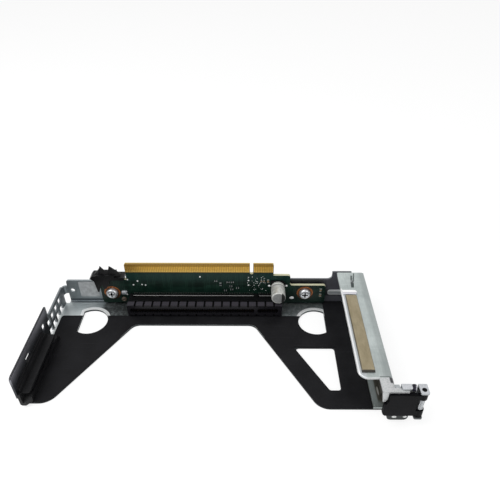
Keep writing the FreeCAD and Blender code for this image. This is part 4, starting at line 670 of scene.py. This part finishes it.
# The capacitor: an aluminium can lying out from the board on a black plate, sleeved in
# pale grey with a dark segment on its end that marks the negative lead.
sleeve = Finish("can_sleeve")
can_middle, can_level, face_radius = 45.15, 15.5, 3.3
can_x, can_y, can_z = sleeve.axes()
spun = sleeve.noise(1.0, 3, sleeve.moved((0.4, 6.0, 0.4)))
ageing = sleeve.noise(0.6, 3)
silver = sleeve.ramp(spun * 0.5 + ageing * 0.5, (0.35, seen(166, 168, 164)), (0.65, seen(208, 210, 206)))
# A line of painted shade round the can where its crimp groove lies.
silver = sleeve.mix(can_y.within(-3.5, -2.9, 0.12) * 0.8, silver, seen(62, 62, 60))
end_face = can_y.below(-10.7, 0.1)
scribed = can_x.swing(0.28).above(0.16, 0.06) * sleeve.noise(0.7, 2).above(0.42, 0.1)
worn_face = sleeve.mix(scribed * 0.6, seen(146, 148, 148), seen(78, 80, 80))
in_face = spot(sleeve, can_x, can_middle, face_radius, can_z, can_level, face_radius, 0.12)
silver = sleeve.mix(end_face * in_face * 0.9, silver, worn_face)
segment = end_face * can_x.above(46.9, 0.08)
silver = sleeve.mix(segment * 0.95, silver, seen(20, 24, 22))
sleeve_skin = sleeve.skin(Base_Color=silver, Metallic=0.35, Roughness=0.34 + spun * 0.15,
                          Normal=sleeve.bump(spun, 0.015, 0.5))
dress(sleeve_skin, "capacitor_can")

# Moulded black nylon: the capacitor's foot, the clip on the board's left shoulder, the
# card guide on the left wall and the latch.
def nylon(name, dark, light, shine_level, base_rough):
    """A finish of moulded nylon, with flow marks and scuffs."""
    finish = Finish(name)
    spark = finish.noise(5.0, 2)
    flow_mark = finish.noise(0.16, 3)
    scuff = finish.noise(1.0, 3, finish.moved((0.3, 0.3, 3.0), (2, 5, 1))).above(0.66, 0.06)
    tone = finish.ramp(flow_mark * 0.6 + spark * 0.4, (0.35, dark), (0.65, light))
    tone = finish.mix(scuff * 0.3, tone, tuple(part * 2.2 for part in light))
    return finish.skin(Base_Color=tone, Roughness=base_rough + spark * 0.15 + scuff * 0.08,
                       Specular=shine_level, Normal=finish.bump(spark * 0.7 + flow_mark * 0.3, 0.02, 0.6))


clip_nylon = nylon("clip_nylon", seen(10, 10, 11), seen(19, 19, 21), 0.2, 0.3)
guide_nylon = nylon("guide_nylon", seen(16, 16, 18), seen(28, 28, 30), 0.3, 0.42)
latch_nylon = nylon("latch_nylon", seen(13, 13, 15), seen(22, 22, 25), 0.07, 0.4)
dress(clip_nylon, "board_clip", "capacitor_base")
dress(guide_nylon, "card_guide")
dress(latch_nylon, "latch_body")

# The clip's toothed ridge: two moulded pyramids that a finger presses, with a web that
# falls away to the right along the arm, all in one with the clip.
ridge_middle, foot_reach = 1.9, 1.4
web_start, high_foot, low_foot = -48.5, 22.6, 21.5
ridge_line = ((-61.0, 22.9, 0.25), (-59.0, 24.8, 0.4), (-56.8, 27.9, 0.3), (-54.8, 25.0, 0.4),
              (-53.2, 25.0, 0.4), (-51.3, 27.9, 0.3), (-49.2, 25.9, 0.4), (-47.6, 24.5, 0.3),
              (-45.4, 22.1, 0.3))
ridge = bmesh.new()
rings = []
for x, top_level, half_thick in ridge_line:
    foot = high_foot if x < web_start else low_foot
    rings.append([(x, ridge_middle - half_thick, top_level), (x, ridge_middle + half_thick, top_level),
                  (x, ridge_middle + foot_reach, foot), (x, ridge_middle - foot_reach, foot)])
loft(ridge, rings)
new_piece("clip_ridge", ridge, clip_nylon, "riser")

# The latch's stop: a dark moulded block between the bracket's two tabs, pressed onto the
# web behind them, with a painted highlight on one end.
stop_nylon = Finish("stop_nylon")
stop_x = stop_nylon.axes()[0]
stop_grain = stop_nylon.noise(1.8, 3)
stop_tone = stop_nylon.ramp(stop_grain, (0.4, seen(22, 20, 30)), (0.6, seen(48, 46, 60)))
end_highlight = stop_x.above(103.0, 0.15) * stop_nylon.noise(1.1, 2).above(0.45, 0.08)
stop_tone = stop_nylon.mix(end_highlight * 0.8, stop_tone, seen(206, 206, 212))
stop_skin = stop_nylon.skin(Base_Color=stop_tone, Roughness=0.42 + stop_grain * 0.15, Specular=0.2,
                            Normal=stop_nylon.bump(stop_grain, 0.02, 0.6))
stop_middle, stop_foot = -78.6, 23.0
side_view = ((-79.9, 22.7), (-79.9, 23.6), (-79.5, 24.5), (-78.8, 25.2), (-78.0, 25.3),
             (-77.5, 24.8), (-77.4, 22.7))
stop_block = bmesh.new()
rings = []
for x, inset in ((101.7, 0.2), (101.9, 0.0), (103.4, 0.0), (103.65, 0.25)):
    rings.append([(x, y + (inset if y < stop_middle else -inset), z - (inset if z > stop_foot else 0.0))
                  for y, z in side_view])
loft(stop_block, rings)
new_piece("latch_stop", stop_block, stop_skin, "riser")

# The chip parts: sintered ceramic bodies, tan capacitors and black-glazed resistors,
# soldered between tinned caps.
chalk = Finish("chip_ceramic")
sinter = chalk.noise(3.0, 3)
clay = chalk.ramp(sinter, (0.35, seen(92, 76, 56)), (0.65, seen(132, 112, 86)))
dress(chalk.skin(Base_Color=clay, Roughness=0.45 + sinter * 0.2,
                 Normal=chalk.bump(sinter, 0.02, 0.5)), "ceramic_capacitors")
glaze = Finish("chip_glaze")
glaze_wave = glaze.noise(2.4, 3)
glaze_tone = glaze.ramp(glaze_wave, (0.35, seen(22, 22, 26)), (0.65, seen(44, 44, 50)))
dress(glaze.skin(Base_Color=glaze_tone, Roughness=0.2 + glaze_wave * 0.2,
                 Normal=glaze.bump(glaze_wave, 0.02, 0.4)), "chip_resistors")

dull_tin = Finish("chip_end_tin")
dulled = dull_tin.noise(2.2, 3)
end_tone = dull_tin.ramp(dulled, (0.35, seen(104, 110, 108)), (0.65, seen(158, 163, 160)))
dress(dull_tin.skin(Base_Color=end_tone, Metallic=0.4, Roughness=0.3 + dulled * 0.2,
                    Normal=dull_tin.bump(dulled, 0.02, 0.5)), "chip_terminals")

# Solder joints of the capacitor's two leads and of one through lead right of them: bright
# domes with a wetted rim, left by the wave of solder.
def oval(middle_x, middle_z, half_wide, half_high, depth, sides):
    """A ring of points that faces the front, at one depth."""
    return [(middle_x + half_wide * math.cos(way), depth, middle_z + half_high * math.sin(way))
            for way in (math.tau * side / sides for side in range(sides))]


steps_to_tip = 6.5
joints = bmesh.new()
for x, z, wide, high, proud in ((40.2, 15.55, 0.85, 0.7, 0.55), (50.2, 15.65, 0.6, 0.62, 0.5),
                                (53.6, 6.2, 1.45, 0.95, 0.4)):
    rings = []
    for step in range(7):
        turn = math.pi / 2 * step / steps_to_tip
        reach = math.cos(turn) ** 0.8
        rings.append(oval(x, z, wide * reach, high * reach, -proud * math.sin(turn), 20))
    loft(joints, rings)
new_piece("solder_joints", joints, tin_skin, "riser")

# The small crystal can beside the slot's left end: a pressed steel cap, welded to its
# flange and soldered flat on the board.
def rounded(middle_x, middle_z, half_wide, half_high, radius, steps):
    """Points of a rectangle with round corners, as pairs of X and Z."""
    points = []
    for corner_x, corner_z, first in ((1, 1, 0), (-1, 1, 90), (-1, -1, 180), (1, -1, 270)):
        for step in range(steps + 1):
            way = math.radians(first + 90 * step / steps)
            points.append((middle_x + corner_x * (half_wide - radius) + radius * math.cos(way),
                           middle_z + corner_z * (half_high - radius) + radius * math.sin(way)))
    return points


crystal_x, crystal_z, half_wide, half_high = -44.9, 10.4, 1.75, 1.15
can = bmesh.new()
rings = []
for depth, inset in ((0.0, 0.0), (-0.35, 0.0), (-0.38, 0.18), (-1.0, 0.18), (-1.12, 0.3), (-1.15, 0.5)):
    flat_ring = rounded(crystal_x, crystal_z, half_wide - inset, half_high - inset, 0.7 - inset * 0.5, 4)
    rings.append([(x, depth, z) for x, z in flat_ring])
loft(can, rings)
new_piece("crystal_can", can, screw_skin, "riser")

# The locating peg beside the slot's left end: undyed nylon, turned brown by heat, with a
# dimple in its head. It is pressed into a hole of the board.
pale_nylon = Finish("peg_nylon")
peg_cloud = pale_nylon.noise(0.9, 3)
peg_tone = pale_nylon.ramp(peg_cloud, (0.35, seen(58, 50, 42)), (0.65, seen(92, 80, 68)))
peg_skin = pale_nylon.skin(Base_Color=peg_tone, Roughness=0.4 + peg_cloud * 0.2,
                           Normal=pale_nylon.bump(peg_cloud, 0.03, 0.5))
peg_x, peg_z = -45.8, 5.2
peg = bmesh.new()
rings = []
for depth, radius in ((0.0, 1.5), (-0.25, 1.55), (-0.7, 1.45), (-0.95, 1.2), (-1.05, 0.85),
                      (-0.75, 0.6), (-0.7, 0.1)):
    rings.append(oval(peg_x, peg_z, radius, radius, depth, 28))
loft(peg, rings)
new_piece("locating_peg", peg, peg_skin, "riser")

# The blank label on the back wall's left end: thin matt silver polyester, cut with round
# corners and stuck on flat.
label = Finish("label_polyester")
label_grain = label.noise(0.5, 4)
label_tone = label.ramp(label_grain, (0.35, seen(150, 153, 155)), (0.65, seen(174, 178, 180)))
label_skin = label.skin(Base_Color=label_tone, Roughness=0.55 + label_grain * 0.1,
                        Normal=label.bump(label_grain, 0.01, 0.5))
label_x, label_z, label_corner = -66.75, 10.0, 0.7
wall_face, label_thickness = 2.9, 0.06
outline = rounded(label_x, label_z, 5.55, 5.7, label_corner, 5)
sticker = bmesh.new()
loft(sticker, [[(x, wall_face - proud, z) for x, z in outline] for proud in (0.0, label_thickness)])
new_piece("blank_label", sticker, label_skin, "riser")

# The contact strip on the shelf: conductive cloth folded over a foam core, glued on its
# dark backing tape. It crowns a little and its surface is uneven between the ends.
cloth = Finish("conductive_cloth")
half_pitch = 0.16
cloth_x, cloth_y, cloth_z = cloth.axes()
warp = cloth_x.swing(half_pitch)
weft = cloth_y.swing(half_pitch)
crease = cloth.noise(0.5, 3, cloth.moved((1, 0.35, 1)))
threads = (warp * weft) * 39.0
cloth_tone = cloth.ramp(crease * 0.6 + threads * 0.4, (0.2, seen(128, 117, 90)), (0.75, seen(172, 160, 134)))
strip_low, strip_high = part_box("emi_gasket")
middle = (strip_low.x + strip_high.x) * 500
half = (strip_high.x - strip_low.x) * 500
tape = cloth_z.below(24.12, 0.06)
# Painted shade along the strip's long edges and on its front end.
long_edges = abs(cloth_x - middle).above(half - 0.42, 0.12)
front_end = cloth_y.below(-69.5, 0.15)
cloth_tone = cloth.mix(long_edges * 0.75, cloth_tone, seen(70, 64, 52))
cloth_tone = cloth.mix(tape + front_end * 0.95, cloth_tone, seen(30, 28, 26))
cloth_skin = cloth.skin(Base_Color=cloth_tone, Metallic=0.25, Roughness=0.5 + threads * 0.15,
                        Normal=cloth.bump(threads * 0.6 + crease * 0.8, 0.06, 0.6))
floor_level, crown = strip_low.z * 1000, (strip_high.z - strip_low.z) * 1000
uneven = random.Random(4)
waves = [(uneven.uniform(0.08, 0.35), uneven.uniform(0, 6.28), uneven.uniform(0.02, 0.05)) for _ in range(5)]
right_half = ((0.5, 0.985), (0.8, 0.93), (0.93, 0.78), (0.985, 0.5), (1.0, 0.18), (1.0, 0.0))
profile = [(-x, z) for x, z in reversed(right_half)] + [(0.0, 1.0)] + list(right_half)
cushion = bmesh.new()
rings = []
front, rear = strip_low.y * 1000, strip_high.y * 1000
steps = 96
for step in range(steps + 1):
    y = front + (rear - front) * step / steps
    from_end = min(y - front, rear - y)
    rise = 1 - 0.5 * math.exp(-from_end / 0.5)
    sway = sum(size * math.sin(rate * y + start) for rate, start, size in waves)
    height = crown * rise * (0.9 + sway * 0.5)
    width = half * (0.965 + sway * 0.12)
    rings.append([(middle + width * x, y, floor_level + height * z) for x, z in profile])
loft(cushion, rings)
gasket = new_piece("cloth_contact_strip", cushion, cloth_skin, "riser")
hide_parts("emi_gasket")

# Rivets and the hinge pin: plain steel, zinc-plated, headed cold. The pin's top end, sunk
# in the latch bracket's upper ear, is painted dark as shade.
rivet = Finish("rivet_zinc")
rivet_grain = rivet.noise(2.0, 4)
rivet_tone = rivet.ramp(rivet_grain, (0.35, seen(154, 158, 160)), (0.65, seen(210, 213, 215)))
rivet_z = rivet.axes()[2]
rivet_tone = rivet.mix(rivet_z.above(24.2, 0.1), rivet_tone, seen(16, 16, 17))
rivet_skin = rivet.skin(Base_Color=rivet_tone, Metallic=0.8, Roughness=0.28 + rivet_grain * 0.2,
                        Normal=rivet.bump(rivet_grain, 0.015, 0.5))
dress(rivet_skin, "frame_rivets", "latch_pin")

# The latch's spring: hard-drawn steel wire wound round the pin between the knuckles. One
# leg presses on the latch and the other lies against the bracket's web.
wire = Finish("spring_wire")
wire_grain = wire.noise(3.0, 3)
wire_tone = wire.ramp(wire_grain, (0.35, seen(136, 139, 142)), (0.65, seen(202, 205, 207)))
wire_skin = wire.skin(Base_Color=wire_tone, Metallic=0.85, Roughness=0.22 + wire_grain * 0.15,
                      Normal=wire.bump(wire_grain, 0.01, 0.5))
coil_low, coil_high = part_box("latch_spring")
hinge = (coil_low + coil_high) / 2
end_room = 0.0003
spring = Pattern("torsion_spring")
coil_radius = spring.size("Coil radius", 0.00122)
wire_radius = spring.size("Wire radius", 0.00024)
turns = spring.size("Turns", 12.0)
coil_height = spring.size("Coil height", coil_high.z - coil_low.z - 2 * end_room)
leg_length = spring.size("Leg length", 0.0011)
helix = spring.node("GeometryNodeCurveSpiral", (), {
    "Resolution": 18, "Rotations": turns, "Start Radius": coil_radius, "End Radius": coil_radius,
    "Height": coil_height})
leg_start = spring.node("ShaderNodeCombineXYZ", (), {0: coil_radius, 1: 0.0, 2: 0.0})
leg_end = spring.node("ShaderNodeCombineXYZ", (), {0: coil_radius, 1: -1 * leg_length, 2: 0.0})
low_leg = spring.node("GeometryNodeCurvePrimitiveLine", (), {0: leg_start, 1: leg_end})
top_start = spring.node("ShaderNodeCombineXYZ", (), {0: coil_radius, 1: 0.0, 2: coil_height})
top_end = spring.node("ShaderNodeCombineXYZ", (), {0: coil_radius, 1: leg_length, 2: coil_height})
top_leg = spring.node("GeometryNodeCurvePrimitiveLine", (), {0: top_start, 1: top_end})
section = spring.node("GeometryNodeCurvePrimitiveCircle", (), {"Resolution": 8, "Radius": wire_radius})
swept = [spring.node("GeometryNodeCurveToMesh", (), {
    "Curve": one, "Profile Curve": section, "Fill Caps": True}) for one in (helix, low_leg, top_leg)]
gathered = spring.node("GeometryNodeJoinGeometry")
for one in swept:
    spring.tree.links.new(one.socket, gathered.socket.node.inputs[0])
stood = spring.node("GeometryNodeTransform", (), {
    "Geometry": gathered, "Translation": (hinge.x, hinge.y, coil_low.z + end_room)})
coil = spring.piece("latch_torsion_spring", stood, wire_skin)
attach(coil, "latch")
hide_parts("latch_spring")
